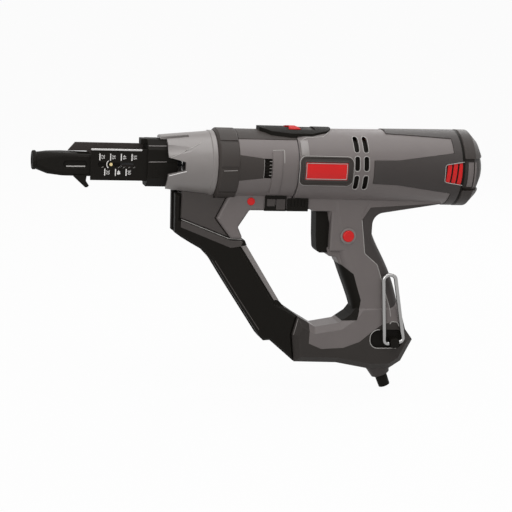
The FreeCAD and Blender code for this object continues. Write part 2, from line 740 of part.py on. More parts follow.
# Feed block
low = BLOCK_HALF_HEIGHT - BLOCK_CHAMFER
side = BLOCK_HALF_WIDTH - BLOCK_CHAMFER
near_half = [(-side, -BLOCK_HALF_HEIGHT), (-BLOCK_HALF_WIDTH, -low), (-BLOCK_HALF_WIDTH, low),
             (-side, BLOCK_HALF_HEIGHT)]
ring = near_half + [(-y, z) for y, z in near_half[::-1]]
corners = [Vector(block_x0, y, z) for y, z in ring]
block = Part.Face(Part.makePolygon(corners + corners[:1])).extrude(Vector(BLOCK_LENGTH, 0, 0))
block_nose = box(block_x0 - BLOCK_NOSE_LENGTH, block_x0 + OVERRUN, -BLOCK_NOSE_HALF, BLOCK_NOSE_HALF,
                 BLOCK_HALF_HEIGHT - BLOCK_NOSE_HEIGHT, BLOCK_HALF_HEIGHT)
tongue_hole = box(block_x0 - OVERRUN, block_x0 + PLATE_TONGUE + SEAT_GAP, plate_inner - SEAT_GAP,
                  plate_outer + SEAT_GAP, -PLATE_TONGUE_HALF - SEAT_GAP, PLATE_TONGUE_HALF + SEAT_GAP)
head_hole = rod_y(plate_outer, far_away, PLATE_SCREW_HEAD + SEAT_GAP, screw_x, -PLATE_SCREW_DROP)
step = box(block_x0 - OVERRUN, block_x1 + OVERRUN, BLOCK_HALF_WIDTH - BLOCK_STEP_DEPTH, far_away, PIN_DROP,
           PIN_DROP + SLIDE_GAP * 2)
nodes["feed_block"] = without(joined([block, block_nose]), [
    rod_x(block_x0 + BLOCK_FRONT_WALL, block_x1 + OVERRUN, BLOCK_BORE_RADIUS),
    rod_x(block_x0 - OVERRUN, block_x1, BLOCK_BIT_HOLE),
    tongue_hole, mirrored(tongue_hole), head_hole, mirrored(head_hole), step, mirrored(step), shank_hole])
head_y = BLOCK_HALF_WIDTH + PLATE_SCREW_STANDOUT
plate_screw = joined([
    rod_y(head_y - PLATE_SCREW_HEAD_HEIGHT, head_y, PLATE_SCREW_HEAD, screw_x, -PLATE_SCREW_DROP),
    rod_y(plate_inner - SEAT_GAP, head_y - HALF_SEAM, PLATE_SCREW_SHANK, screw_x, -PLATE_SCREW_DROP)])
nodes["plate_screws"] = Part.makeCompound([plate_screw, mirrored(plate_screw)])

# Feed sprocket: two star wheels on one axle
star = []
step_angle = FULL_TURN / SPROCKET_TEETH
for i in range(SPROCKET_TEETH):
    tooth_line = ((SPROCKET_ROOT, -HALF_SHARE * step_angle), (SPROCKET_RADIUS, -SPROCKET_TOOTH_HALF_ANGLE),
                  (SPROCKET_RADIUS, SPROCKET_TOOTH_HALF_ANGLE))
    for radius, turn in tooth_line:
        angle = math.radians(i * step_angle + turn)
        star.append((sprocket_x + radius * math.cos(angle), -SPROCKET_DROP + radius * math.sin(angle)))
wheel = slab(star, 0.0, SPROCKET_INNER, SPROCKET_OUTER)
axle_end = plate_outer - SEAT_GAP
nodes["feed_sprocket"] = joined([
    rod_y(-axle_end, axle_end, SPROCKET_AXLE, sprocket_x, -SPROCKET_DROP), wheel, mirrored(wheel)])

# Nose cone with claws, strip notches and flutes
cone = turned([
    (cone_x0, CONE_BORE_RADIUS), (cone_x0, CONE_FRONT_RADIUS - CONE_LIP),
    (cone_x0 + CONE_LIP, CONE_FRONT_RADIUS), (cone_x1, CONE_REAR_RADIUS),
    (cone_x1 + CONE_LIP, RIM_RADIUS), (rim_x1 - CONE_LIP, RIM_RADIUS),
    (rim_x1, RIM_RADIUS - CONE_LIP), (rim_x1, CONE_BORE_RADIUS)])
claw_mouth = CLAW_FRONT_HALF + CLAW_REAR_HALF * HALF_SHARE
claw_x1 = cone_x0 + CLAW_DEPTH
claw = slab([
    (cone_x0 - OVERRUN, claw_mouth), (claw_x1, CLAW_REAR_HALF), (claw_x1, -CLAW_REAR_HALF),
    (cone_x0 - OVERRUN, -claw_mouth)], (0.0, PIN_RADIUS, PIN_RADIUS, 0.0), -far_away, far_away)
tine_slot = box(cone_x0 - OVERRUN, cone_x0 + TOP_NOTCH_LENGTH, TINE_HALF, TINE_HALF + TINE_SLOT, 0.0, far_away)
claw_front = box(cone_x0 - OVERRUN, cone_x0 + TINE_REACH, -far_away, far_away, -far_away, far_away).cut(
    box(cone_x0 - OVERRUN, cone_x0 + TINE_REACH + OVERRUN, -TINE_HALF, TINE_HALF, 0.0, far_away))
strip_notch = box(cone_x0 - OVERRUN, cone_x0 + STRIP_NOTCH_LENGTH, -STRIP_NOTCH_HALF, STRIP_NOTCH_HALF,
                  -far_away, 0.0)
flute_start = Vector(cone_x0 + TINE_REACH, 0, CONE_FRONT_RADIUS - FLUTE_DEPTH + FLUTE_RADIUS)
flute_end = Vector(cone_x0 + FLUTE_LENGTH, 0, CONE_REAR_RADIUS + FLUTE_RADIUS)
flute_way = flute_end - flute_start
flute = Part.makeCylinder(FLUTE_RADIUS, flute_way.Length * 2, flute_start - flute_way * HALF_SHARE, flute_way)
quarter = FULL_TURN / 4
flutes = [spun(flute, turn) for turn in (quarter - FLUTE_ANGLE, FLUTE_ANGLE - quarter)]
nodes["nose_cone"] = without(cone, [claw, claw_front, tine_slot, mirrored(tine_slot), strip_notch] + flutes)

# Collar with grip pads and side tongues
collar = turned([
    (collar_x0, COLLAR_BORE_RADIUS), (collar_x0, COLLAR_RADIUS - COLLAR_ROUND),
    (collar_x0 + COLLAR_ROUND, COLLAR_RADIUS), (collar_x1, COLLAR_RADIUS), (collar_x1, COLLAR_BORE_RADIUS)])
pad_radius = COLLAR_RADIUS + PAD_RISE
pads = turned([
    (collar_x0 + PAD_MARGIN - PAD_RISE, COLLAR_BORE_RADIUS), (collar_x0 + PAD_MARGIN - PAD_RISE, COLLAR_RADIUS),
    (collar_x0 + PAD_MARGIN, pad_radius), (collar_x1 - PAD_RISE, pad_radius),
    (collar_x1, COLLAR_RADIUS), (collar_x1, COLLAR_BORE_RADIUS)])
pad_half_gap = PAD_GAP * HALF_SHARE
pad_gap = box(collar_x0 - OVERRUN, collar_x1 - PAD_MARGIN * HALF_SHARE, -pad_half_gap, pad_half_gap,
              COLLAR_RADIUS - PAD_RISE * HALF_SHARE, far_away)
pads = without(pads, [spun(pad_gap, i * FULL_TURN / PAD_COUNT) for i in range(PAD_COUNT)])
tongue_x1 = collar_x1 + TONGUE_LENGTH
tongue_points = [(collar_x1 - PAD_RISE, TONGUE_HALF_FRONT), (tongue_x1, TONGUE_HALF_REAR),
                 (tongue_x1, -TONGUE_HALF_REAR), (collar_x1 - PAD_RISE, -TONGUE_HALF_FRONT)]
tongue_reach = slab(tongue_points, 0.0, -far_away, far_away)
tongues = tube_x(collar_x1 - PAD_RISE, tongue_x1, FRONT_RADIUS, FRONT_RADIUS - TONGUE_SKIN).common(tongue_reach)
collar = joined([collar, pads, tongues])

# Front housing: round shell, lower body with strap, wheel windows
case_x0 = front_x0 + CASE_SETBACK
wheel_x0 = front_x0 + WHEEL_SETBACK
wheel_x1 = wheel_x0 + WHEEL_WIDTH
front_inner = FRONT_RADIUS - SHELL_WALL
front_drum = rod_x(front_x0, front_x1, FRONT_RADIUS)
lower_points = arm_points(FRONT_LOWER_SHARES)
lower_radii = [0.0] + [FRONT_CORNER] * (len(lower_points) - 3) + [0.0, 0.0]
lower = soft_slab(lower_points, lower_radii, FRONT_HALF_WIDTH, FRONT_EDGE)
lower = lower.cut(rod_x(front_x0 - far_away, front_x0, COLLAR_RADIUS + PAD_RISE + SEAM))
lower = lower.cut(box(front_x1, far_away, -far_away, far_away, -far_away, far_away))
lower_wire = rounded_wire(lower_points, [0.0] * len(lower_points)).makeOffset2D(-SHELL_WALL)
lower_face = Part.Face(lower_wire)
lower_half = FRONT_HALF_WIDTH - SHELL_WALL
lower_face.translate(Vector(0, -lower_half, 0))
lower_hollow = lower_face.extrude(Vector(0, lower_half * 2, 0))

# Room under the housings for the latch and its keeper, flush with the housings' lower edge
keeper_x0 = front_x0 + KEEPER_SETBACK
keeper_x1 = keeper_x0 + KEEPER_LENGTH
latch_x0 = front_x0 + LATCH_SETBACK
latch_x1 = latch_x0 + LATCH_LENGTH
saddle_floor = lower_points[6][1] + LATCH_THICKNESS + SLIDE_GAP
saddle_room = box(keeper_x0 - SEAM, latch_x1 + LATCH_TRAVEL + SLIDE_GAP, -far_away, far_away,
                  -far_away, saddle_floor)
saddle_core = box(keeper_x0 - OVERRUN, latch_x1 + LATCH_TRAVEL + OVERRUN, -far_away, far_away,
                  -far_away, saddle_floor + SHELL_WALL)
lower_hollow = lower_hollow.cut(saddle_core)

cover_zone = box(front_x0 - OVERRUN, front_x1 + SEAM, -TOP_COVER_HALF, TOP_COVER_HALF, 0.0, far_away)
cover_pocket = tube_x(front_x0 - OVERRUN, front_x1 + OVERRUN, FRONT_RADIUS + OVERRUN,
                      FRONT_RADIUS - TOP_COVER_SKIN - SEAT_GAP).common(
    box(front_x0 - OVERRUN, front_x1 + OVERRUN, -TOP_COVER_HALF - SEAM, TOP_COVER_HALF + SEAM, 0.0, far_away))
tongue_pocket = tube_x(front_x0 - OVERRUN, tongue_x1 + SEAM, FRONT_RADIUS + OVERRUN,
                       FRONT_RADIUS - TONGUE_SKIN - SEAT_GAP).common(slab(
    [(front_x0 - OVERRUN, TONGUE_HALF_FRONT + SEAM * 2), (tongue_x1 + SEAM, TONGUE_HALF_REAR + SEAM),
     (tongue_x1 + SEAM, -TONGUE_HALF_REAR - SEAM), (front_x0 - OVERRUN, -TONGUE_HALF_FRONT - SEAM * 2)],
    0.0, -far_away, far_away))
window_x0 = tongue_x1 + SEAM
wheel_windows = box(window_x0, wheel_x1 + SEAM, -far_away, far_away, -WHEEL_WINDOW_HALF, WHEEL_WINDOW_HALF)
ring_a = tube_x(wheel_x0 - SLIDE_GAP - WHEEL_RIB_RING, wheel_x0 - SLIDE_GAP, front_inner + HALF_SEAM,
                WHEEL_RING_BORE)
ring_b = tube_x(wheel_x1 + SLIDE_GAP, wheel_x1 + SLIDE_GAP + WHEEL_RIB_RING, front_inner + HALF_SEAM,
                WHEEL_RING_BORE)
front_cavity = rod_x(front_x0 - OVERRUN, front_x1 + OVERRUN, front_inner)
post_x0 = wheel_x1 + SEAM * 2
side_posts = tube_x(post_x0, post_x0 + POST_LENGTH, FRONT_RADIUS + POST_RISE, FRONT_RADIUS - HALF_SEAM).common(
    box(post_x0 - OVERRUN, post_x0 + POST_LENGTH + OVERRUN, -far_away, far_away, -POST_LOW, POST_TOP))
release_x = front_x0 + RELEASE_SETBACK
release_hole = rod_y(-far_away, 0.0, RELEASE_RADIUS + RUN_GAP * 2, release_x, -RELEASE_DROP)


# Screw posts that tie two housing halves, with their holes and screws
def screw_set(places, half_width):
    posts = []
    holes = []
    screws = []
    seat_y = SCREW_LENGTH * HALF_SHARE
    for x, z in places:
        posts.append(rod_y(-half_width + HALF_SEAM, half_width - HALF_SEAM, BOSS_RADIUS, x, z))
        holes.append(rod_y(-seat_y - SEAT_GAP, seat_y, SCREW_SHANK_RADIUS + SEAT_GAP, x, z))
        holes.append(rod_y(seat_y, far_away, SCREW_HEAD_RADIUS + SEAT_GAP, x, z))
        shank = rod_y(-seat_y, seat_y + SCREW_HEAD_HEIGHT * HALF_SHARE, SCREW_SHANK_RADIUS, x, z)
        head = rod_y(seat_y + HALF_SEAM, seat_y + SCREW_HEAD_HEIGHT, SCREW_HEAD_RADIUS, x, z)
        screws.append(joined([shank, head]))
    return posts, holes, screws


front_places = [(front_x0 + s, -d) for s, d in zip(FRONT_BOSS_SETBACKS, FRONT_BOSS_DROPS)]
front_posts, front_holes, front_screws = screw_set(front_places, FRONT_HALF_WIDTH)
front_shell = joined([front_drum, lower, side_posts]).cut(front_cavity)
front_shell = front_shell.cut(lower_hollow.cut(rod_x(front_x0 - far_away, front_x1, FRONT_RADIUS)))
posts_below = [post.cut(rod_x(front_x0 - OVERRUN, front_x1 + OVERRUN, front_inner)) for post in front_posts]
front_shell = joined([front_shell, ring_a, ring_b] + posts_below)
front_shell = without(front_shell, [cover_pocket, tongue_pocket, wheel_windows, release_hole, saddle_room]
                      + front_holes)
nodes["front_housing_left"], nodes["front_housing_right"] = halves(front_shell)
nodes["front_collar"] = collar.cut(lower)
top_cover = tube_x(front_x0, front_x1, FRONT_RADIUS + TOP_COVER_RISE, FRONT_RADIUS - TOP_COVER_SKIN)
nodes["top_cover"] = top_cover.common(cover_zone)

# Depth wheel and the stop that it moves
stop_inner = CASE_NOSE_RADIUS + SEAT_GAP
stop_outer = stop_inner + STOP_WALL
rib_cut = box(wheel_x0 - OVERRUN, wheel_x1 + OVERRUN, -WHEEL_RIB_DEPTH, WHEEL_RIB_DEPTH,
              WHEEL_RADIUS - WHEEL_RIB_DEPTH, far_away)
rib_cuts = Part.makeCompound([spun(rib_cut, i * FULL_TURN / WHEEL_RIBS) for i in range(WHEEL_RIBS)])
nodes["depth_wheel"] = tube_x(wheel_x0, wheel_x1, WHEEL_RADIUS, stop_outer + RUN_GAP * 2).cut(rib_cuts)
stop_x0 = wheel_x0 - STOP_LEAD
nodes["depth_stop"] = tube_x(stop_x0, stop_x0 + STOP_LENGTH, stop_outer, stop_inner)

# Guide arm: channel-section strip guide, dark shell above it, steel rail inside the bend
guide_points = arm_points(GUIDE_OUTLINE_SHARES)
guide = bevelled_slab(guide_points, ARM_HALF_WIDTH, ARM_BEVEL, ARM_BEVEL_DEPTH)
run_points = [Vector(x, 0, z) for x, z in guide_points[CHANNEL_FIRST:] + guide_points[:1]]


# The line of points moved sideways by one distance, mitred at its bends
def moved_line(points, distance):
    moved = []
    for i, here in enumerate(points):
        ahead = points[min(i + 1, len(points) - 1)]
        back = points[max(i - 1, 0)]
        first = (here - back) if i > 0 else (ahead - here)
        second = (ahead - here) if i < len(points) - 1 else first
        normal_a = Vector(first.z, 0, -first.x).normalize()
        normal_b = Vector(second.z, 0, -second.x).normalize()
        middle = (normal_a + normal_b).normalize()
        moved.append(here + middle * (distance / max(middle.dot(normal_a), HALF_SHARE)))
    return moved


def channel_cut(near, deep, half_width):
    line = moved_line(run_points, near) + moved_line(run_points, deep)[::-1]
    face = Part.Face(Part.makePolygon(line + line[:1]))
    face.translate(Vector(0, -half_width, 0))
    return face.extrude(Vector(0, half_width * 2, 0))


guide = without(guide, [
    channel_cut(CHANNEL_LIP, CHANNEL_LIP + CHANNEL_DEPTH, CHANNEL_HALF_WIDTH),
    channel_cut(-OVERRUN, CHANNEL_LIP + CHANNEL_DEPTH * HALF_SHARE, CHANNEL_LIP_HALF)])
rail_stops = [slab(arm_points(shares), 0.0, -RAIL_STRIP_HALF, RAIL_STRIP_HALF) for shares in RAIL_STOP_SHARES]
nodes["strip_guide"] = joined([guide] + rail_stops)
nodes["guide_rail"] = slab(arm_points(GUIDE_RAIL_SHARES), 0.0, -RAIL_STRIP_HALF, RAIL_STRIP_HALF)
shell_points = arm_points(ARM_SHELL_SHARES)
arm_shell = bevelled_slab(shell_points, ARM_SHELL_HALF_WIDTH, SHELL_BEVEL, SHELL_BEVEL)
shell_wire = rounded_wire(shell_points, [0.0] * len(shell_points)).makeOffset2D(-ARM_SHELL_WALL)
shell_face = Part.Face(shell_wire)
shell_half = ARM_SHELL_HALF_WIDTH - ARM_SHELL_WALL
shell_face.translate(Vector(0, -shell_half, 0))
cone_room = turned([
    (cone_x0 - OVERRUN, 0.0), (cone_x0 - OVERRUN, CONE_FRONT_RADIUS), (cone_x1, CONE_REAR_RADIUS + SEAM),
    (cone_x1, RIM_RADIUS + SEAM), (rim_x1 + SEAM, RIM_RADIUS + SEAM), (rim_x1 + SEAM, pad_radius + SEAM),
    (front_x0 + OVERRUN, pad_radius + SEAM), (front_x0 + OVERRUN, 0.0)])
deck = SEAM + ARM_SHELL_WALL
deck_room = turned([
    (cone_x0 - OVERRUN, 0.0), (cone_x0 - OVERRUN, CONE_FRONT_RADIUS + ARM_SHELL_WALL),
    (cone_x1, CONE_REAR_RADIUS + deck), (rim_x1 + SEAM, RIM_RADIUS + deck), (rim_x1 + SEAM, pad_radius + deck),
    (front_x0 + OVERRUN, pad_radius + deck), (front_x0 + OVERRUN, 0.0)])
shell_hollow = shell_face.extrude(Vector(0, shell_half * 2, 0)).cut(deck_room)
nodes["arm_shell"] = without(arm_shell, [cone_room, shell_hollow])

# Motor housing and handle halves
neck_radii = [0.0, NECK_CORNER, NECK_CORNER, NECK_CORNER, NECK_CORNER, WEB_RADIUS, NECK_CORNER, 0.0]


def barrel(inset, x0, x1):
    return turned([(x0, 0.0), (x0, barrel_radius(x0) - inset), (x1, barrel_radius(x1) - inset), (x1, 0.0)])


def barrel_radius(x):
    along = (x - motor_x0) / MOTOR_LENGTH
    return MOTOR_FRONT_RADIUS + (MOTOR_REAR_RADIUS - MOTOR_FRONT_RADIUS) * along


def neck(inset):
    wire = rounded_wire(body_points(NECK_SHARES), neck_radii)
    if inset > 0:
        wire = wire.makeOffset2D(-inset)
    face = Part.Face(wire)
    half = NECK_HALF_WIDTH - inset
    face.translate(Vector(0, -half, 0))
    solid = face.extrude(Vector(0, half * 2, 0))
    rims = []
    for edge in solid.Edges:
        limits = edge.BoundBox
        lower_edge = limits.ZMax < -MOTOR_FRONT_RADIUS * HALF_SHARE
        if limits.YLength < HALF_SEAM and abs(limits.YMax) > half - HALF_SEAM and lower_edge:
            rims.append(edge)
    return solid.makeFillet(NECK_CORNER - HALF_SEAM, rims)


def grip(inset):
    wires = []
    for i, level in enumerate(GRIP_LEVEL_SHARES):
        front = motor_x0 + GRIP_FRONT_SHARES[i] * MOTOR_LENGTH + inset
        rear = motor_x0 + GRIP_REAR_SHARES[i] * MOTOR_LENGTH - inset
        half = GRIP_HALF_WIDTH - inset
        wires.append(level_section(front, rear, half, GRIP_CORNER - inset, -level * BODY_DROP))
    return Part.makeLoft(wires, True, False)


base_points = body_points(BASE_SHARES)
base = bevelled_slab(base_points, BASE_HALF_WIDTH, BASE_BEVEL, BASE_BEVEL_DEPTH)
base_hollow_wire = rounded_wire(base_points, [BASE_CORNER] * len(base_points)).makeOffset2D(-BASE_WALL)
base_hollow_face = Part.Face(base_hollow_wire)
base_hollow_face.translate(Vector(0, -BASE_CAVITY_HALF, 0))
base_hollow = base_hollow_face.extrude(Vector(0, BASE_CAVITY_HALF * 2, 0))
shoe_zone = slab(body_points(SHOE_SHARES), 0.0, -far_away, far_away)
guard = soft_slab(body_points(GUARD_SHARES), GUARD_CORNER, GUARD_HALF_WIDTH, GUARD_CORNER - HALF_SEAM)
motor_barrel = barrel(0.0, motor_x0, motor_x1)
motor_cavity = barrel(MOTOR_WALL, motor_x0 - OVERRUN, motor_x1 + OVERRUN)
outer_neck = neck(0.0)
outer_grip = grip(0.0)
upper_base = base.cut(shoe_zone)
hollow = joined([neck(MOTOR_WALL), grip(MOTOR_WALL), base_hollow])
body = joined([motor_barrel, outer_neck, outer_grip, guard, upper_base])
chamfer_x1 = motor_x0 + MOTOR_CHAMFER_LENGTH
chamfer_core = turned([(motor_x0 - OVERRUN, 0.0), (motor_x0 - OVERRUN, MOTOR_FRONT_RADIUS - MOTOR_CHAMFER),
                       (motor_x0, MOTOR_FRONT_RADIUS - MOTOR_CHAMFER), (chamfer_x1, barrel_radius(chamfer_x1)),
                       (chamfer_x1, 0.0)])
chamfer_zone = box(motor_x0 - OVERRUN, chamfer_x1, -far_away, far_away, MOTOR_CHAMFER_LOW, far_away)
chamfer_zone = chamfer_zone.cut(chamfer_core)
body = without(body, [motor_cavity, hollow.cut(saddle_core), chamfer_zone, saddle_room])

trigger_points = body_points(TRIGGER_SHARES)
trigger_room = box(
    motor_x0 + MOTOR_LENGTH * TRIGGER_SHARES[0][0] - OVERRUN,
    motor_x0 + MOTOR_LENGTH * TRIGGER_SHARES[1][0] + TRIGGER_TRAVEL + SLIDE_GAP,
    -TRIGGER_HALF_WIDTH - SLIDE_GAP, TRIGGER_HALF_WIDTH + SLIDE_GAP,
    trigger_points[2][1] - SLIDE_GAP, trigger_points[0][1] + SLIDE_GAP)
motor_places = [(motor_x0 + s, -d) for s, d in zip(BOSS_SETBACKS, BOSS_DROPS)]
motor_posts, motor_holes, motor_screws = screw_set(motor_places, NECK_HALF_WIDTH)
lock_x = motor_x0 + LOCK_SETBACK
lock_hole = rod_y(-far_away, -SWITCH_NEAR, LOCK_RADIUS + RUN_GAP * 2, lock_x, -LOCK_DROP)
ring_hole = rod_y(-far_away, -GRIP_HALF_WIDTH + LOCK_RING_RISE, LOCK_RING_RADIUS + SEAT_GAP, lock_x, -LOCK_DROP)

# Vent slots through both sides of the barrel
vents = []
for setback in VENT_COLUMN_SETBACKS:
    for rise in VENT_RISES:
        x0 = motor_x0 + setback - VENT_WIDTH * HALF_SHARE
        slot = slab(slot_points(x0, x0 + VENT_WIDTH, rise, VENT_HEIGHT), VENT_WIDTH * HALF_SHARE - HALF_SEAM,
                    -far_away, far_away)
        vents.append(slot)


# A skin over the barrel between two depths, kept to one zone
def barrel_skin(rise, depth, x0, x1, zone):
    return barrel(-rise, x0, x1).cut(barrel(depth, x0 - OVERRUN, x1 + OVERRUN)).common(zone)


badge_x0 = motor_x0 + BADGE_SETBACK
badge_x1 = badge_x0 + BADGE_LENGTH


def badge_zone(grow, y0, y1, corner=BADGE_CORNER):
    return slab([
        (badge_x0 - grow, -BADGE_CENTRE_DROP + BADGE_HALF_HEIGHT + grow),
        (badge_x1 + grow, -BADGE_CENTRE_DROP + BADGE_HALF_HEIGHT + grow),
        (badge_x1 + grow, -BADGE_CENTRE_DROP - BADGE_HALF_HEIGHT - grow),
        (badge_x0 - grow, -BADGE_CENTRE_DROP - BADGE_HALF_HEIGHT - grow)], corner, y0, y1)


badge_left = barrel_skin(BADGE_RISE, BADGE_SKIN, badge_x0, badge_x1, badge_zone(0.0, -far_away, 0.0))
face_inset = BADGE_MARGIN * HALF_SHARE + BADGE_FACE_CORNER * HALF_SHARE
face_depth = BADGE_FACE_SKIN - BADGE_RISE
face_zone = badge_zone(-face_inset, -far_away, 0.0, BADGE_FACE_CORNER)
face_room = badge_zone(SEAT_GAP - face_inset, -far_away, 0.0, BADGE_FACE_CORNER)
badge_face = barrel_skin(BADGE_RISE, face_depth, badge_x0, badge_x1, face_zone)
badge_left = badge_left.cut(barrel_skin(OVERRUN, face_depth + SEAT_GAP, badge_x0, badge_x1, face_room))
badge_pocket = barrel_skin(OVERRUN, BADGE_SKIN + SEAT_GAP, badge_x0 - OVERRUN, badge_x1 + OVERRUN,
                           badge_zone(SEAM, -far_away, far_away))
band_x0 = motor_x1 - BAND_LENGTH


# Where the rear band runs: a ring, two side tongues and a top tongue
def band_zone(grow):
    band_x1 = motor_x1 - BAND_GROOVE + (OVERRUN * 2 if grow > 0 else 0.0)
    ring_zone = box(band_x0 - grow, band_x1, -far_away, far_away, -far_away, far_away)
    tops = []
    lows = []
    for i, share in enumerate(BAND_SIDE_RUN_SHARES):
        x = band_x0 - BAND_SIDE_REACH + share * BAND_SIDE_REACH - (grow if i == 0 else 0.0)
        tops.append((x, BAND_SIDE_TOP_SHARES[i] * MOTOR_REAR_RADIUS + grow))
        lows.append((x, -BAND_SIDE_LOW_SHARES[i] * MOTOR_REAR_RADIUS - grow))
    side = slab(tops + lows[::-1], 0.0, -far_away, far_away)
    front_half = BAND_TOP_FRONT_HALF + grow
    rear_half = BAND_TOP_REAR_HALF + grow
    front_x = band_x0 - BAND_TOP_REACH - grow
    rear_x = band_x0 + OVERRUN
    outline = [(front_x, -front_half), (rear_x, -rear_half), (rear_x, rear_half), (front_x, front_half)]
    top = plan_prism(outline, 0.0, 0.0, far_away)
    return joined([ring_zone, side, top])


louvre_x1 = motor_x1 - SEAM
louvre_x0 = louvre_x1 - LOUVRE_LENGTH


def louvre_zone(grow, y0, y1):
    front_half = LOUVRE_FRONT_HALF + grow
    rear_half = LOUVRE_REAR_HALF + grow
    x0 = louvre_x0 - grow
    x1 = louvre_x1 + grow
    return slab([
        (x0, front_half - BADGE_CENTRE_DROP), (x1, rear_half - BADGE_CENTRE_DROP),
        (x1, -rear_half - BADGE_CENTRE_DROP), (x0, -front_half - BADGE_CENTRE_DROP)], LOUVRE_CORNER, y0, y1)


band_start = band_x0 - BAND_SIDE_REACH - OVERRUN
rear_band = barrel_skin(BAND_RISE, BAND_SKIN, band_start, motor_x1, band_zone(0.0))
band_pocket = barrel_skin(OVERRUN, BAND_SKIN + SEAT_GAP, band_start, motor_x1 + OVERRUN, band_zone(SEAM))
louvre_room = louvre_zone(SEAM, -far_away, far_away)
nodes["rear_band"] = without(rear_band, [louvre_room, outer_neck])

# Rubber skins of the grip
skin_outer = joined([outer_neck, outer_grip, guard])
skin_inner = joined([neck(GRIP_SKIN), grip(GRIP_SKIN)])
base_inner = bevelled_slab(drawn_in(base_points, GRIP_SKIN), BASE_HALF_WIDTH - GRIP_SKIN, BASE_BEVEL,
                           BASE_BEVEL_DEPTH)
rear_zone = slab(body_points(REAR_GRIP_SHARES), 0.0, -far_away, far_away)
front_zone = slab(body_points(FRONT_GRIP_SHARES), 0.0, -far_away, far_away)
barrel_room = barrel(SEAT_GAP, motor_x0 - OVERRUN, motor_x1 + OVERRUN)
rear_grip = without(skin_outer.common(rear_zone), [skin_inner, barrel_room, base])
front_grip = joined([skin_outer, upper_base]).common(front_zone)
front_grip = without(front_grip, [skin_inner, base_inner, trigger_room])

posts_inside = [post.cut(motor_barrel) for post in motor_posts]
body = joined([body] + posts_inside)
body = without(body, [trigger_room, lock_hole, ring_hole, badge_pocket, band_pocket, louvre_room, rear_grip,
                      front_grip] + vents + motor_holes)
nodes["motor_housing_left"], nodes["motor_housing_right"] = halves(body)
nodes["rear_grip"] = rear_grip.cut(Part.makeCompound(motor_holes))
nodes["front_grip"] = front_grip
nodes["badges"] = Part.makeCompound([badge_left, mirrored(badge_left)])
nodes["badge_faces"] = Part.makeCompound([badge_face, mirrored(badge_face)])

# Louvres: leaning slats on a back plate
slats = []
slat_pitch = (LOUVRE_LENGTH - LOUVRE_MARGIN * 2) / LOUVRE_SLATS
slat_half = LOUVRE_SLAT_THICKNESS * HALF_SHARE
slat_top = LOUVRE_REAR_HALF - BADGE_CENTRE_DROP
slat_low = -LOUVRE_REAR_HALF - BADGE_CENTRE_DROP
louvre_near = louvre_zone(0.0, -far_away, 0.0)
for i in range(LOUVRE_SLATS):
    x = louvre_x0 + LOUVRE_MARGIN + (i + HALF_SHARE) * slat_pitch
    slat = slab([
        (x - slat_half + LOUVRE_LEAN, slat_top), (x + slat_half + LOUVRE_LEAN, slat_top),
        (x + slat_half - LOUVRE_LEAN, slat_low), (x - slat_half - LOUVRE_LEAN, slat_low)], 0.0, -far_away, 0.0)
    slats.append(barrel_skin(0.0, LOUVRE_DEPTH, louvre_x0 - OVERRUN, louvre_x1, slat.common(louvre_near)))
louvre_back = barrel_skin(LOUVRE_BACK - LOUVRE_DEPTH, LOUVRE_DEPTH, louvre_x0 - OVERRUN, louvre_x1, louvre_near)
louvre = joined([louvre_back] + slats)
nodes["louvres"] = Part.makeCompound([louvre, mirrored(louvre)])

# Rear cap: a dome with a ribbed recess on each side
cap_line = []
for station, share in zip(CAP_STATION_SHARES, CAP_RADIUS_SHARES):
    cap_line.append((cap_x0 + station * CAP_LENGTH, share * CAP_RADIUS))
dome = turned([(cap_x0, 0.0)] + cap_line + [(cap_x1, 0.0)])
inner_line = [(min(x, cap_x1 - CAP_WALL), max(r - CAP_WALL, CAP_WALL)) for x, r in cap_line]
dome_hollow = turned([(cap_x0 - OVERRUN, 0.0), (cap_x0 - OVERRUN, CAP_RADIUS - CAP_WALL)] + inner_line
                     + [(cap_x1 - CAP_WALL, 0.0)])
recess_line = [(x, max(r - CAP_NOTCH_DEPTH, CAP_WALL)) for x, r in cap_line]
recess_core = turned([(cap_x0 - OVERRUN, 0.0), (cap_x0 - OVERRUN, CAP_RADIUS - CAP_NOTCH_DEPTH)] + recess_line
                     + [(cap_x1, 0.0)])
recess_zone = box(cap_x0 - OVERRUN, cap_x1 + OVERRUN, -far_away, far_away, -CAP_NOTCH_LOW, CAP_NOTCH_TOP)
backing_line = [(x, max(r - CAP_NOTCH_DEPTH - CAP_WALL, CAP_WALL * HALF_SHARE)) for x, r in inner_line]
backing_hollow = turned([(cap_x0 - OVERRUN, 0.0), (cap_x0 - OVERRUN, CAP_RADIUS - CAP_NOTCH_DEPTH - CAP_WALL)]
                        + backing_line + [(cap_x1 - CAP_WALL - CAP_NOTCH_DEPTH, 0.0)])
cap = without(dome, [dome_hollow.cut(recess_zone), backing_hollow])
cap = cap.cut(recess_zone.cut(recess_core))
nodes["rear_cap"] = cap

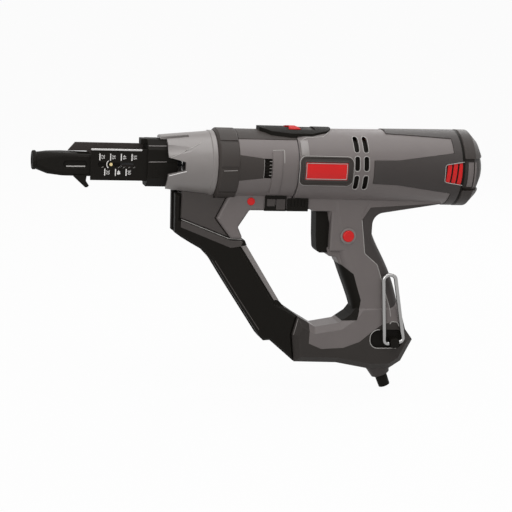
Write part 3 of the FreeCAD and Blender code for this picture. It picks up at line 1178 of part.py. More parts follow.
# Direction lever and its bezel
bezel_x0 = front_x0 + BEZEL_SETBACK
bezel_x1 = bezel_x0 + BEZEL_LENGTH
near_edge = []
far_edge = []
for station, share in zip(BEZEL_STATION_SHARES, BEZEL_WIDTH_SHARES):
    x = bezel_x0 + station * BEZEL_LENGTH
    near_edge.append((x, -share * BEZEL_HALF_WIDTH))
    far_edge.append((x, share * BEZEL_HALF_WIDTH))
bezel_zone = plan_prism(near_edge + far_edge[::-1], BEZEL_CORNER, 0.0, BEZEL_RADIUS + OVERRUN)
bezel = bezel_zone.common(rod_x(bezel_x0 - OVERRUN, bezel_x1 + OVERRUN, BEZEL_RADIUS))
lever_slot_x0 = bezel_x0 + LEVER_SLOT_SETBACK
lever_floor = BEZEL_RADIUS - LEVER_SLOT_DEPTH
lever_slot = box(lever_slot_x0, lever_slot_x0 + LEVER_SLOT_LENGTH, -LEVER_SLOT_HALF, LEVER_SLOT_HALF,
                 0.0, far_away).cut(rod_x(bezel_x0, bezel_x1, lever_floor))
under_bezel = joined([rod_x(front_x0, motor_x0, FRONT_RADIUS + TOP_COVER_RISE + SEAT_GAP),
                      barrel(-SEAT_GAP, motor_x0 - HALF_SEAM, motor_x1)])
nodes["lever_bezel"] = without(bezel, [lever_slot, under_bezel])
lever_x0 = lever_slot_x0 + LEVER_SETBACK
lever_half = LEVER_SLOT_HALF - SLIDE_GAP
lever_points = [(lever_x0 + s * LEVER_LENGTH, t * lever_half) for s, t in LEVER_OUTLINE_SHARES]
lever = plan_prism(lever_points, 0.0, 0.0, far_away).common(
    tube_x(bezel_x0, bezel_x1, LEVER_TOP, lever_floor + SLIDE_GAP))
nodes["direction_lever"] = lever

# Trigger, its switch, lock button and ring
trigger = soft_slab(trigger_points, TRIGGER_CORNERS, TRIGGER_HALF_WIDTH, TRIGGER_EDGE * HALF_SHARE * HALF_SHARE)
trigger_x1 = trigger_points[1][0]
stem = rod_x(trigger_x1 - OVERRUN, trigger_x1 + STEM_LENGTH, STEM_RADIUS, 0.0, -SWITCH_DROP)
nodes["trigger"] = joined([trigger, stem])
switch_x0 = trigger_x1 + TRIGGER_TRAVEL + SLIDE_GAP * 2
switch_far = NECK_HALF_WIDTH - MOTOR_WALL - SLIDE_GAP
switch_outline = slot_points(switch_x0, switch_x0 + SWITCH_LENGTH, -SWITCH_DROP, SWITCH_HALF_HEIGHT * 2)
switch = slab(switch_outline, SWITCH_CORNER, -SWITCH_NEAR, switch_far)
stem_room_x1 = trigger_x1 + STEM_LENGTH + TRIGGER_TRAVEL + SLIDE_GAP
stem_room = rod_x(switch_x0 - OVERRUN, stem_room_x1, STEM_RADIUS + RUN_GAP * 2, 0.0, -SWITCH_DROP)
nodes["trigger_switch"] = switch.cut(stem_room)
lock_y0 = -GRIP_HALF_WIDTH - LOCK_STANDOUT
lock_button = rod_y(lock_y0, lock_y0 + LOCK_LENGTH, LOCK_RADIUS, lock_x, -LOCK_DROP)
lock_rim = [edge for edge in lock_button.Edges if edge.BoundBox.YMax < lock_y0 + HALF_SEAM]
nodes["lock_button"] = lock_button.makeFillet(LOCK_ROUND, lock_rim)
nodes["lock_ring"] = rod_y(-GRIP_HALF_WIDTH - LOCK_RING_RISE, -GRIP_HALF_WIDTH + LOCK_RING_RISE - SEAT_GAP,
                           LOCK_RING_RADIUS, lock_x, -LOCK_DROP).cut(
    rod_y(-far_away, 0.0, LOCK_RADIUS + RUN_GAP * 2, lock_x, -LOCK_DROP))

# Arm release button, nose release slide and its keeper
release_y0 = -FRONT_HALF_WIDTH - RELEASE_STANDOUT
release = rod_y(release_y0, release_y0 + RELEASE_LENGTH, RELEASE_RADIUS, release_x, -RELEASE_DROP)
release_rim = [edge for edge in release.Edges if edge.BoundBox.YMax < release_y0 + HALF_SEAM]
nodes["release_button"] = release.makeFillet(RELEASE_ROUND, release_rim)
saddle_inner = FRONT_HALF_WIDTH + SLIDE_GAP
saddle_outer = saddle_inner + LATCH_THICKNESS
saddle_low = saddle_floor - SLIDE_GAP


# A strap under the housings that clears their round above it
def saddle(x0, x1, top, round_radius):
    outside = box(x0, x1, -saddle_outer, saddle_outer, saddle_low - LATCH_THICKNESS, -top)
    inside = box(x0 - OVERRUN, x1 + OVERRUN, -saddle_inner, saddle_inner, saddle_low, 0.0)
    rims = []
    for edge in outside.Edges:
        limits = edge.BoundBox
        if limits.XLength > HALF_SEAM and limits.ZMax < saddle_low:
            rims.append(edge)
    round_room = rod_x(x0 - OVERRUN, x1 + OVERRUN, round_radius + SLIDE_GAP)
    return without(outside.makeFillet(LATCH_THICKNESS - HALF_SEAM, rims), [inside, round_room])


latch = saddle(latch_x0, latch_x1, LATCH_TOP, barrel_radius(latch_x1 + LATCH_TRAVEL))
rib_pitch = LATCH_LENGTH / (LATCH_RIBS + 1)
for i in range(LATCH_RIBS):
    x = latch_x0 + (i + 1) * rib_pitch - LATCH_RIB_WIDTH * HALF_SHARE
    for y0, y1 in ((-far_away, -saddle_outer + LATCH_RIB_DEPTH), (saddle_outer - LATCH_RIB_DEPTH, far_away)):
        latch = latch.cut(box(x, x + LATCH_RIB_WIDTH, y0, y1, -LATCH_LOW, -LATCH_TOP - LATCH_RIB_WIDTH))
nodes["nose_release_slide"] = latch
keeper = saddle(keeper_x0, keeper_x1, LATCH_TOP - KEEPER_RISE, FRONT_RADIUS)
keeper_mid = (keeper_x0 + keeper_x1) * HALF_SHARE
keeper_window = slab(slot_points(
    keeper_mid - KEEPER_WINDOW_LENGTH * HALF_SHARE, keeper_mid + KEEPER_WINDOW_LENGTH * HALF_SHARE,
    -(LATCH_TOP + LATCH_LOW) * HALF_SHARE, KEEPER_WINDOW_HEIGHT), KEEPER_RISE, -far_away, far_away)
nodes["latch_keeper"] = keeper.cut(keeper_window)

# Base shoe with the hook pocket and the cord outlet
cord_way = Vector(math.sin(math.radians(CORD_TILT)), 0, -math.cos(math.radians(CORD_TILT)))
cord_point = Vector(motor_x0 + CORD_SETBACK, 0, -CORD_DROP)
sleeve_length = SLEEVE_INNER_LENGTH + SLEEVE_OUTER_LENGTH
sleeve_start = cord_point - cord_way * SLEEVE_INNER_LENGTH
sleeve = Part.makeCone(SLEEVE_TOP_RADIUS, SLEEVE_END_RADIUS, sleeve_length, sleeve_start, cord_way)
bore_start = sleeve_start - cord_way * OVERRUN
sleeve_bore = Part.makeCylinder(CORD_BORE_RADIUS, sleeve_length + OVERRUN * 2, bore_start, cord_way)
sleeve_room = Part.makeCylinder(SLEEVE_TOP_RADIUS + SEAT_GAP, sleeve_length + OVERRUN, bore_start, cord_way)
collar_start = cord_point - cord_way * CORD_COLLAR_INSET
collar_run = CORD_COLLAR_LENGTH + CORD_COLLAR_INSET
cord_collar = Part.makeCone(CORD_COLLAR_RADIUS, CORD_COLLAR_END_RADIUS, collar_run, collar_start, cord_way)
hook_y = -BASE_HALF_WIDTH - HOOK_STANDOFF
pocket_x = motor_x0 + POCKET_SETBACK
pocket_half = POCKET_LENGTH * HALF_SHARE
pocket_outline = slot_points(pocket_x - pocket_half, pocket_x + pocket_half, -POCKET_DROP, POCKET_HEIGHT)
pocket = slab(pocket_outline, POCKET_CORNER, -far_away, -BASE_HALF_WIDTH + POCKET_DEPTH)
shoe = without(base.common(shoe_zone), [base_hollow, outer_grip, sleeve_room])
nodes["base_shoe"] = without(shoe, [pocket])
nodes["cord_collar"] = without(cord_collar, [base, sleeve_room])
nodes["cord_sleeve"] = sleeve.cut(sleeve_bore)

# Wire hook on its socket, built upright and then tilted with the base
hook_x = motor_x0 + HOOK_SETBACK
half_span = HOOK_SPAN * HALF_SHARE
foot_reach = half_span - HOOK_PIVOT
bend = HOOK_WIRE * 2
hook_top = HOOK_HEIGHT - HOOK_DROP
top_half = HOOK_TOP_SPAN * HALF_SHARE
hook_foot = Vector(hook_x, hook_y, -HOOK_DROP)
hook_wire = bent_line(
    [(hook_x - foot_reach, -HOOK_DROP), (hook_x - half_span, -HOOK_DROP), (hook_x - top_half, hook_top),
     (hook_x + top_half, hook_top), (hook_x + half_span, -HOOK_DROP), (hook_x + foot_reach, -HOOK_DROP)],
    [0.0, bend, HOOK_ARCH, HOOK_ARCH, bend, 0.0], hook_y)
hook_start = hook_foot - Vector(foot_reach, 0, 0)
hook_profile = Part.Wire([Part.makeCircle(HOOK_WIRE, hook_start, Vector(1, 0, 0))])
hook = hook_wire.makePipeShell([hook_profile], True, True)
socket_half = half_span - bend - HOOK_WIRE
socket_outline = slot_points(hook_x - socket_half, hook_x + socket_half, -HOOK_DROP, SOCKET_HALF_HEIGHT * 2)
socket = slab(
    socket_outline, HOOK_WIRE, hook_y - HOOK_WIRE * 2, -BASE_HALF_WIDTH + POCKET_DEPTH - SEAT_GAP)
socket = socket.cut(rod_x(hook_x - half_span, hook_x + half_span, HOOK_WIRE + RUN_GAP, hook_y, -HOOK_DROP))
for shape in (hook, socket):
    shape.rotate(hook_foot, Vector(0, 1, 0), -HOOK_TILT)
nodes["wire_hook"] = hook
nodes["hook_socket"] = socket
nodes["housing_screws"] = Part.makeCompound(front_screws + motor_screws)


# Involute gear outline about the spindle line
def gear_points(teeth, tip, root, play, turn):
    pitch_radius = GEAR_MODULE * teeth * HALF_SHARE
    pressure = math.radians(PRESSURE_ANGLE)
    base_radius = pitch_radius * math.cos(pressure)
    involute = math.tan(pressure) - pressure
    half_tooth = math.pi / (teeth * 2) - play / (pitch_radius * 2) + involute
    flank = []
    start = max(root, base_radius)
    for i in range(FLANK_STEPS + 1):
        radius = start + (tip - start) * i / FLANK_STEPS
        lean = math.acos(min(base_radius / radius, 1.0))
        flank.append((radius, half_tooth - (math.tan(lean) - lean)))
    if root < start:
        flank.insert(0, (root, flank[0][1]))
    points = []
    for tooth in range(teeth):
        middle = turn + math.pi * 2 * tooth / teeth
        points += [(radius, middle - half) for radius, half in flank]
        points += [(radius, middle + half) for radius, half in flank[::-1]]
    return points


def gear_solid(points, x0, x1, y, z):
    corners = [Vector(x0, y + r * math.cos(a), z + r * math.sin(a)) for r, a in points]
    return Part.Face(Part.makePolygon(corners + corners[:1])).extrude(Vector(x1 - x0, 0, 0))


# Gear case, planetary set and spindle
ring_teeth = SUN_TEETH + PLANET_TEETH * 2
sun_pitch = GEAR_MODULE * SUN_TEETH * HALF_SHARE
planet_pitch = GEAR_MODULE * PLANET_TEETH * HALF_SHARE
ring_pitch = GEAR_MODULE * ring_teeth * HALF_SHARE
addendum = GEAR_MODULE * ADDENDUM_SHARE
dedendum = GEAR_MODULE * DEDENDUM_SHARE
centre_distance = sun_pitch + planet_pitch
ring_outer = ring_pitch + dedendum + RING_WALL
nose_x1 = case_x0 + CASE_NOSE_LENGTH
case_x1 = nose_x1 + CASE_LENGTH
cavity_x0 = case_x1 - CASE_CAVITY_LENGTH
seat_a_x0 = case_x0 + BEARING_INSET
seat_b_x0 = cavity_x0 - BEARING_WIDTH
flange_x0 = nose_x1 + CASE_FLANGE_SETBACK - CASE_NOSE_LENGTH
case_flange = front_inner - SEAM
case = turned([
    (case_x0, 0.0), (case_x0, CASE_NOSE_RADIUS), (nose_x1, CASE_NOSE_RADIUS), (nose_x1, CASE_RADIUS),
    (flange_x0, CASE_RADIUS), (flange_x0, case_flange), (flange_x0 + CASE_FLANGE_LENGTH, case_flange),
    (flange_x0 + CASE_FLANGE_LENGTH, CASE_RADIUS), (case_x1, CASE_RADIUS), (case_x1, 0.0)])
nodes["gear_case"] = without(case, [
    rod_x(case_x0 - OVERRUN, case_x1 + OVERRUN, CASE_RELIEF_RADIUS),
    rod_x(seat_a_x0, seat_a_x0 + BEARING_WIDTH + OVERRUN, BEARING_RADIUS + SEAT_GAP),
    rod_x(seat_b_x0, cavity_x0 + OVERRUN, BEARING_RADIUS + SEAT_GAP),
    rod_x(cavity_x0, case_x1 + OVERRUN, ring_outer + SEAT_GAP)])
bearing_a = tube_x(seat_a_x0 + SEAT_GAP, seat_a_x0 + BEARING_WIDTH, BEARING_RADIUS, SPINDLE_RADIUS + RUN_GAP)
bearing_b = tube_x(seat_b_x0 + SEAT_GAP, cavity_x0, BEARING_RADIUS, SPINDLE_RADIUS + RUN_GAP)
carrier_x0 = cavity_x0 + CARRIER_GAP
carrier_x1 = carrier_x0 + CARRIER_THICKNESS
ring_x0 = carrier_x1 + CARRIER_GAP
ring_x1 = ring_x0 + RING_WIDTH
planet_x0 = ring_x0 + GEAR_SIDE_GAP
planet_x1 = ring_x1 - GEAR_SIDE_GAP
spindle = joined([rod_x(case_x0 + SEAM, carrier_x0 + HALF_SEAM, SPINDLE_RADIUS),
                  rod_x(carrier_x0, carrier_x1, CARRIER_RADIUS)])
bit_x1 = case_x0 + BIT_SHANK_IN_SPINDLE
for i in range(PLANET_COUNT):
    angle = math.pi * 2 * i / PLANET_COUNT
    y = centre_distance * math.cos(angle)
    z = centre_distance * math.sin(angle)
    spindle = spindle.fuse(rod_x(carrier_x1 - HALF_SEAM, planet_x1, PLANET_PIN_RADIUS, y, z))
    outline = gear_points(PLANET_TEETH, planet_pitch + addendum, planet_pitch - dedendum, BACKLASH,
                          angle * (1.0 - ring_teeth / PLANET_TEETH))
    planet = gear_solid(outline, planet_x0, planet_x1, y, z)
    pin_hole = rod_x(planet_x0 - OVERRUN, planet_x1 + OVERRUN, PLANET_PIN_RADIUS + RUN_GAP, y, z)
    nodes["planet_gear_%d" % (i + 1)] = planet.cut(pin_hole)


def hexagon(x0, x1, radius):
    points = [(radius, math.pi * 2 * i / HEX_SIDES) for i in range(HEX_SIDES)]
    return gear_solid(points, x0, x1, 0.0, 0.0)


spindle = spindle.removeSplitter().cut(hexagon(case_x0 - OVERRUN, bit_x1 + SEAT_GAP, BIT_HEX_RADIUS + SEAT_GAP))
nodes["spindle"] = spindle
ring_space = gear_points(ring_teeth, ring_pitch + dedendum, ring_pitch - addendum, -BACKLASH, 0.0)
nodes["ring_gear"] = rod_x(ring_x0, ring_x1, ring_outer).cut(
    gear_solid(ring_space, ring_x0 - OVERRUN, ring_x1 + OVERRUN, 0.0, 0.0))
bit = hexagon(BIT_TIP_SETBACK, bit_x1, BIT_HEX_RADIUS)
point_x1 = BIT_TIP_SETBACK + BIT_POINT_LENGTH
bit_shape = turned([(BIT_TIP_SETBACK, 0.0), (BIT_TIP_SETBACK, BIT_POINT_RADIUS), (point_x1, BIT_HEX_RADIUS),
                    (bit_x1, BIT_HEX_RADIUS), (bit_x1, 0.0)])
nodes["driver_bit"] = bit.common(bit_shape)
cover_x0 = case_x1 + SEAM
cover_x1 = cover_x0 + COVER_THICKNESS
front_bearing_x0 = cover_x1 - ARMATURE_BEARING_WIDTH
cover = rod_x(cover_x0, cover_x1, CASE_RADIUS)
case_cover = without(cover, [
    rod_x(cover_x0 - OVERRUN, cover_x1, ARMATURE_BEARING_RADIUS * HALF_SHARE),
    rod_x(front_bearing_x0 - SEAT_GAP, cover_x1 + OVERRUN, ARMATURE_BEARING_RADIUS + SEAT_GAP)])

# Motor
rear_bearing_x0 = motor_x0 + REAR_BEARING_SETBACK
rear_bearing_x1 = rear_bearing_x0 + REAR_BEARING_WIDTH
nodes["bearings"] = Part.makeCompound([
    bearing_a, bearing_b,
    tube_x(front_bearing_x0, cover_x1, ARMATURE_BEARING_RADIUS, SHAFT_RADIUS + RUN_GAP),
    tube_x(rear_bearing_x0, rear_bearing_x1, REAR_BEARING_RADIUS, SHAFT_RADIUS + RUN_GAP)])
sun = gear_solid(gear_points(SUN_TEETH, sun_pitch + addendum, sun_pitch - dedendum, BACKLASH,
                             (PLANET_TEETH - 1) * math.pi / SUN_TEETH), planet_x0, planet_x1, 0.0, 0.0)
nodes["armature_shaft"] = joined([sun, rod_x(planet_x1 - HALF_SEAM, rear_bearing_x1, SHAFT_RADIUS)])
fan_x0 = motor_x0 + FAN_SETBACK
fan_x1 = fan_x0 + FAN_WIDTH
blades = [rod_x(fan_x0, fan_x1, FAN_HUB_RADIUS), rod_x(fan_x0, fan_x0 + FAN_DISC, FAN_RADIUS)]
for i in range(FAN_BLADES):
    blade = box(fan_x0, fan_x1, -FAN_BLADE_THICKNESS * HALF_SHARE, FAN_BLADE_THICKNESS * HALF_SHARE,
                FAN_HUB_RADIUS - FAN_DISC, FAN_RADIUS - FAN_DISC * HALF_SHARE)
    blades.append(spun(blade, i * FULL_TURN / FAN_BLADES))
nodes["cooling_fan"] = joined(blades).cut(rod_x(fan_x0 - OVERRUN, fan_x1 + OVERRUN, SHAFT_RADIUS + SEAT_GAP))
core_x0 = motor_x0 + CORE_SETBACK
core_x1 = core_x0 + CORE_LENGTH
core = tube_x(core_x0, core_x1, CORE_RADIUS, SHAFT_RADIUS + SEAT_GAP)
slot_side = CORE_SLOT_WIDTH * HALF_SHARE
slot_floor = CORE_RADIUS - CORE_SLOT_DEPTH
core_slot = box(core_x0 - OVERRUN, core_x1 + OVERRUN, -slot_side, slot_side, slot_floor, far_away)
nodes["armature_core"] = core.cut(Part.makeCompound([spun(core_slot, i * FULL_TURN / CORE_SLOTS)
                                                     for i in range(CORE_SLOTS)]))
field_x0 = core_x0 - FIELD_OVERHANG
field_x1 = core_x1 + FIELD_OVERHANG
nodes["field_core"] = tube_x(field_x0, field_x1, FIELD_RADIUS, CORE_RADIUS + AIR_GAP)
nodes["field_coils"] = Part.makeCompound([
    tube_x(field_x0 - COIL_LENGTH, field_x0 - SEAT_GAP, COIL_OUTER, COIL_INNER),
    tube_x(field_x1 + SEAT_GAP, field_x1 + COIL_LENGTH, COIL_OUTER, COIL_INNER)])
com_x0 = motor_x0 + COMMUTATOR_SETBACK
com_x1 = com_x0 + COMMUTATOR_LENGTH
nodes["commutator"] = tube_x(com_x0, com_x1, COMMUTATOR_RADIUS, SHAFT_RADIUS + SEAT_GAP)
holder_x0 = (com_x0 + com_x1 - HOLDER_LENGTH) * HALF_SHARE
holder_x1 = holder_x0 + HOLDER_LENGTH
tunnel = HOLDER_HALF_HEIGHT - HOLDER_WALL
holder = box(holder_x0, holder_x1, HOLDER_INNER, HOLDER_OUTER, -HOLDER_HALF_HEIGHT, HOLDER_HALF_HEIGHT)
holder = holder.cut(box(holder_x0 + HOLDER_WALL, holder_x1 - HOLDER_WALL, 0.0, HOLDER_OUTER - HOLDER_WALL,
                        -tunnel, tunnel))
wall = HOLDER_WALL + SEAT_GAP
brush = box(holder_x0 + wall, holder_x1 - wall, COMMUTATOR_RADIUS + SEAT_GAP, COMMUTATOR_RADIUS + BRUSH_LENGTH,
            -tunnel + SEAT_GAP, tunnel - SEAT_GAP)
nodes["brush_holders"] = Part.makeCompound([holder, mirrored(holder)])
nodes["carbon_brushes"] = Part.makeCompound([brush, mirrored(brush)])
bracket_x0 = rear_bearing_x0 - CAP_WALL * HALF_SHARE
bracket_x1 = bracket_x0 + BRACKET_THICKNESS
bracket_arm = box(bracket_x0, bracket_x1, -BRACKET_ARM_HALF, BRACKET_ARM_HALF, -far_away, far_away).common(
    barrel(MOTOR_WALL + SEAM, bracket_x0, bracket_x1))
bracket = without(joined([rod_x(bracket_x0, bracket_x1, BRACKET_RADIUS), bracket_arm]), [
    rod_x(bracket_x0 - OVERRUN, rear_bearing_x1, SHAFT_RADIUS * 2),
    rod_x(rear_bearing_x0 - SEAT_GAP, rear_bearing_x1 + SEAT_GAP, REAR_BEARING_RADIUS + SEAT_GAP)])
nodes["bearing_plates"] = Part.makeCompound([case_cover, bracket])

# Return spring round the bit, one unbroken coil
spring_x0 = block_x0 + BLOCK_FRONT_WALL + SPRING_WIRE * HALF_SHARE + SEAT_GAP
spring_x1 = case_x0 - SPRING_WIRE * HALF_SHARE - SEAT_GAP
spring_pitch = (spring_x1 - spring_x0) / SPRING_TURNS
coil = Part.makeHelix(spring_pitch, spring_x1 - spring_x0, SPRING_MEAN_RADIUS)
coil.rotate(Vector(0, 0, 0), Vector(0, 1, 0), quarter)
coil.translate(Vector(spring_x0, 0, 0))
coil_wire = Part.Wire(coil.Edges)
coil_start = coil_wire.Edges[0].valueAt(coil_wire.Edges[0].FirstParameter)
coil_way = coil_wire.Edges[0].tangentAt(coil_wire.Edges[0].FirstParameter)
coil_profile = Part.Wire([Part.makeCircle(SPRING_WIRE * HALF_SHARE, coil_start, coil_way)])
nodes["return_spring"] = coil_wire.makePipeShell([coil_profile], True, True)

os.makedirs("parts", exist_ok=True)
for name, shape in nodes.items():
    whole = shape if len(shape.Solids) > 1 else shape.Solids[0]
    if not shape.isValid():
        print("not valid:", name)
    print(name, len(shape.Solids), round(shape.Volume, 1))
    whole.exportStep("parts/%s.step" % name)
print("nodes", len(nodes))
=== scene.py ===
import json
import math
from collections import namedtuple

import bmesh
import bpy
from bpy.props import FloatProperty, FloatVectorProperty, IntProperty, PointerProperty
from mathutils import Matrix, Vector

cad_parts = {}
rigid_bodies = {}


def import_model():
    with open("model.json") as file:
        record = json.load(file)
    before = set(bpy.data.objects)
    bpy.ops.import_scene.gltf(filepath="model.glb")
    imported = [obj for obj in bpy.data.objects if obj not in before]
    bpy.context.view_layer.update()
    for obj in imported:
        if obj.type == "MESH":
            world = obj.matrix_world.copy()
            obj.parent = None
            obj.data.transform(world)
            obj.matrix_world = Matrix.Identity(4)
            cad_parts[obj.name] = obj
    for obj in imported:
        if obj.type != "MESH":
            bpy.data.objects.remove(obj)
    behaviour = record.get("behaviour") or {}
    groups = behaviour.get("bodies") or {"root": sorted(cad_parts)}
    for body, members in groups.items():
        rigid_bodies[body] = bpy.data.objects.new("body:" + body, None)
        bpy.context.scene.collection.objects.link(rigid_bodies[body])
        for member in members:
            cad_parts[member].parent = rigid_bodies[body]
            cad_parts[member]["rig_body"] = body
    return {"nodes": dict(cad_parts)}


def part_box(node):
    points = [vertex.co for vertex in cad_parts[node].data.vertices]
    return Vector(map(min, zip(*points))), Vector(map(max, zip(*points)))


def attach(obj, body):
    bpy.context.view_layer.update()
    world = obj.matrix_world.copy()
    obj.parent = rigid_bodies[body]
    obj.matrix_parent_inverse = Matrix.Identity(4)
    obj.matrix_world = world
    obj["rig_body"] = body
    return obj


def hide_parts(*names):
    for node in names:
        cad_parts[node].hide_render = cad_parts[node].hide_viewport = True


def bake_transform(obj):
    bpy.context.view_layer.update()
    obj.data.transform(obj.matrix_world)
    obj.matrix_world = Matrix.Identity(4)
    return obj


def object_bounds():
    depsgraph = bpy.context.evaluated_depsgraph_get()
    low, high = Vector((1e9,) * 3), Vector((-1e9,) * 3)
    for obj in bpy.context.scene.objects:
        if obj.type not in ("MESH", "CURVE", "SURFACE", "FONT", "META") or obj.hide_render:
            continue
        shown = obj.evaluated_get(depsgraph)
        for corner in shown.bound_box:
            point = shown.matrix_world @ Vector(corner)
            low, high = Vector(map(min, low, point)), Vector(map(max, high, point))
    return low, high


for leftover in list(bpy.data.objects):
    bpy.data.objects.remove(leftover)
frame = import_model()
CAD_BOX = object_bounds()

bl_info = {
    "name": "Drywall screwdriver finish",
    "version": (1, 0, 0),
    "blender": (4, 5, 0),
    "location": "View3D > Sidebar > Screwdriver",
    "description": "Finishes an auto-feed drywall screwdriver and sets it on a studio floor",
    "category": "Object",
}

QUARTER_TURN = math.pi / 2
MIX_FACTOR, MIX_A, MIX_B, MIX_RESULT = 0, 6, 7, 2
NEAR, FAR = -1, 1
WELD = 1e-6

# Finishes: grain, pale edges (partly wear, partly painted highlight) and gloss.
NOISE_DETAIL, CLOUD_GRAINS, PATCH_GRAINS = 3.0, 40, 12
EDGE_SAMPLES, WEAR_AND_HIGHLIGHT_REACH = 4, 1.6
FLAT_MATCH, WORN_AND_LIT_MATCH = 0.995, 0.90
PATCH_NOISE, PATCH_WEAR_AND_HIGHLIGHT = (0.35, 0.65), (0.25, 1.0)
GRAIN_NOISE, SMOOTHER, ROUGHER, SMOOTHEST = (0.3, 0.7), 0.06, 0.08, 0.04
BUMP_STRENGTH = 0.5

# Node trees: rounded corners as shares of the narrow side, and how finely curves are divided.
BAR_CORNER, BAR_CORNER_STEPS = 0.3, 4
RIB_CORNER, RIB_CORNER_STEPS = 0.35, 3
BEAD_SIDES, ARC_POINTS, BEND_STEPS = 8, 96, 6

# Outlines: the longest step between two points, and the radius of the bends.
VENT_GAP, LINE_GAP, EDGE_GAP, RIM_GAP, PLATE_GAP = 0.0015, 0.002, 0.003, 0.004, 0.01
LINE_BEND, SHELL_EDGE_BEND, WINDOW_BEND, GRIP_SEAM_BEND = 0.001, 0.002, 0.003, 0.004
PAD_CORNER, SHOULDER_CORNER, POCKET_CORNER = 0.0008, 0.0012, 0.009

# Numbers on the near side, read downwards.
READ_DOWN = Matrix(((0, 1, 0, 0), (0, 0, -1, 0), (-1, 0, 0, 0), (0, 0, 0, 1)))

# Side plates: node, how far the line lies outside it, and the radius of the line's corners. The pale lines
# are painted highlights on the plates' edges.
PLATE_LINES = (("badges", 0.0012, 0.0068), ("badge_faces", -0.0018, 0.0010))
PLATE_FRAMES = (("badges", 0, 0.0056), ("badge_faces", 0, 0.0020))
# The louvres' window outline is a painted highlight; the black between the louvres is painted shade.
LOUVRE_GAPS, LOUVRE_TAPER, LOUVRE_INSET = 4, 0.13, 0.001

# Vents: their pale rims are painted highlights, and the black sheets behind them are painted shade.
VENT_SETBACKS, VENT_RISES = (0.0619, 0.0719), (0.0257, 0.0070, -0.0128)
VENT_WIDTH, VENT_HEIGHT, VENT_ROUND = 0.0060, 0.0155, 0.9
SHADE_SHEET_STARTS, SHADE_SHEET_SWEEP = (math.radians(125), math.radians(-55)), math.radians(110)
SHADE_SHEET_WIDTH, SHADE_SHEET_THICKNESS = 0.021, 0.0006

# Rear cap: where its ribs stand, how far they drop below the floor, and the groove in front of it, laid as a
# black ring of painted shade.
CAP_RIB_SETBACKS, CAP_RIB_DROPS = (0.0074, 0.0128), (0.0, 0.0006)
CAP_RIB_STARTS, CAP_RIB_SWEEP = (math.radians(180 - 16), math.radians(-24)), math.radians(40)
GROOVE_GAP, GROOVE_RISE, GROOVE_DEPTH, GROOVE_SWEEP = 0.0003, 0.00005, 0.0005, math.tau - 0.001

# Motor housing: the pale facets at its front, painted highlights on its chamfer, and places as shares of its
# length and of the drop to the base.
FACET_SETBACK, FACET_WIDTH, FACET_RISE = 0.0015, 0.0085, 0.0002
FACET_FROM, FACET_SWEEP = math.radians(22), math.radians(27)
BODY_DROP = 0.225
# Hook's pocket: a black sheet of painted shade on its floor, and pale rim and arch lines of painted
# highlight.
POCKET_SHARE, POCKET_LENGTH, POCKET_HEIGHT = (0.630, 0.826), 0.038, 0.0205
POCKET_SHADE_THICKNESS, RIM_TOP_SHARE, RIM_BOTTOM_SHARE = 0.0005, 0.45, 0.6
ARCH_SHARES = ((0.643, 0.753), (0.6535, 0.741), (0.689, 0.743), (0.7034, 0.764))
# The pale line along the rear grip's border is a painted highlight on the edge of its groove.
GRIP_SEAM_SHARES = ((0.428, 0.249), (0.458, 0.409), (0.541, 0.464), (0.573, 0.535), (0.633, 0.667),
                    (0.645, 0.715))

# Latch keeper: front, rear and bottom of each pad from the keeper's corner, and the margin above them.
KEEPER_PADS, PAD_MARGIN = ((0.0019, 0.0104, 0.0055), (0.0120, 0.0215, 0.0020)), 0.0036

# Guide arm: its lead ahead of the motor housing, its reach, and places as shares of its run and drop.
ARM_LEAD, ARM_RUN, ARM_TOP, ARM_DROP = 0.1264, 0.145, 0.030, 0.185
# The shoulder is a paler band painted as light on the arm's upward-facing chamfer; the shell's edge line is a
# painted highlight.
SHOULDER_SHARES = ((0.056, 0.154), (0.424, 0.265), (0.520, 0.269), (0.506, 0.300), (0.430, 0.308),
                   (0.056, 0.192))
SHELL_EDGE_SHARES = ((0.060, 0.149), (0.415, 0.256), (0.510, 0.2605))
FOOT_SEAM = ((0.2858, -0.1625), (0.2808, -0.1809), (0.2845, -0.2102))

# Depth wheel's windows: the pale front edge and the pointer teeth.
WINDOW_SETBACK, WINDOW_TOP, WINDOW_BOTTOM = 0.0004, 0.0095, -0.0100
TEETH, TOOTH_TOP, TOOTH_PITCH, TOOTH_LENGTH, TOOTH_OVERLAP = 5, 0.0074, 0.0036, 0.0030, 0.0002

# Nose and feed plate: the window's lip, a painted highlight on its lit lower face; the dashes; the glint in
# the bore, a painted highlight on its far wall; and the mark round the pin.
NOSE_LIP = ((0.0335, -0.0046), (0.0530, -0.0044))
DASH_LEVEL, DASH_RUN, DASH_CLIMB = -0.0048, 0.0020, 0.0012
DASH_PLACES = (0.0690, 0.0860, 0.0912, 0.0964, 0.1016)
GLINT_SETBACK, GLINT_START, GLINT_SWEEP, GLINT_WIDTH = 0.0018, -60, 120, 0.6
PIN_MARK_RADIUS, PIN_MARK_START, PIN_MARK_SWEEP, MARK_STEPS = 0.0044, 125, 110, 12

# Floor of the direction lever's recess, laid as a black sheet of painted shade.
RECESS_SWEEP, RECESS_THICKNESS = math.radians(36.5), 0.0002

# Stage: each lamp's offset from the tool, its side and its power's setting, and the floor.
LAMPS = (("top_lamp", (0.1, -0.25, 1.3), 1.5, "top_light"), ("key_lamp", (-0.9, -1.5, 0.7), 1.2, "key_light"),
         ("rim_lamp", (0.9, 0.9, 0.8), 0.9, "rim_light"))
FLOOR_GREY, FLOOR_WHITE_SHARE = (0.55, 0.55, 0.55, 1), 0.96
WHITE = (1, 1, 1, 1)


def colour(name, description, default):
    """A colour that the user can change."""
    return FloatVectorProperty(name=name, description=description, subtype="COLOR", size=3, min=0, max=1,
                               default=default)


def size(name, description, default):
    """A length in metres that the user can change."""
    return FloatProperty(name=name, description=description, unit="LENGTH", subtype="DISTANCE", precision=5,
                         default=default)


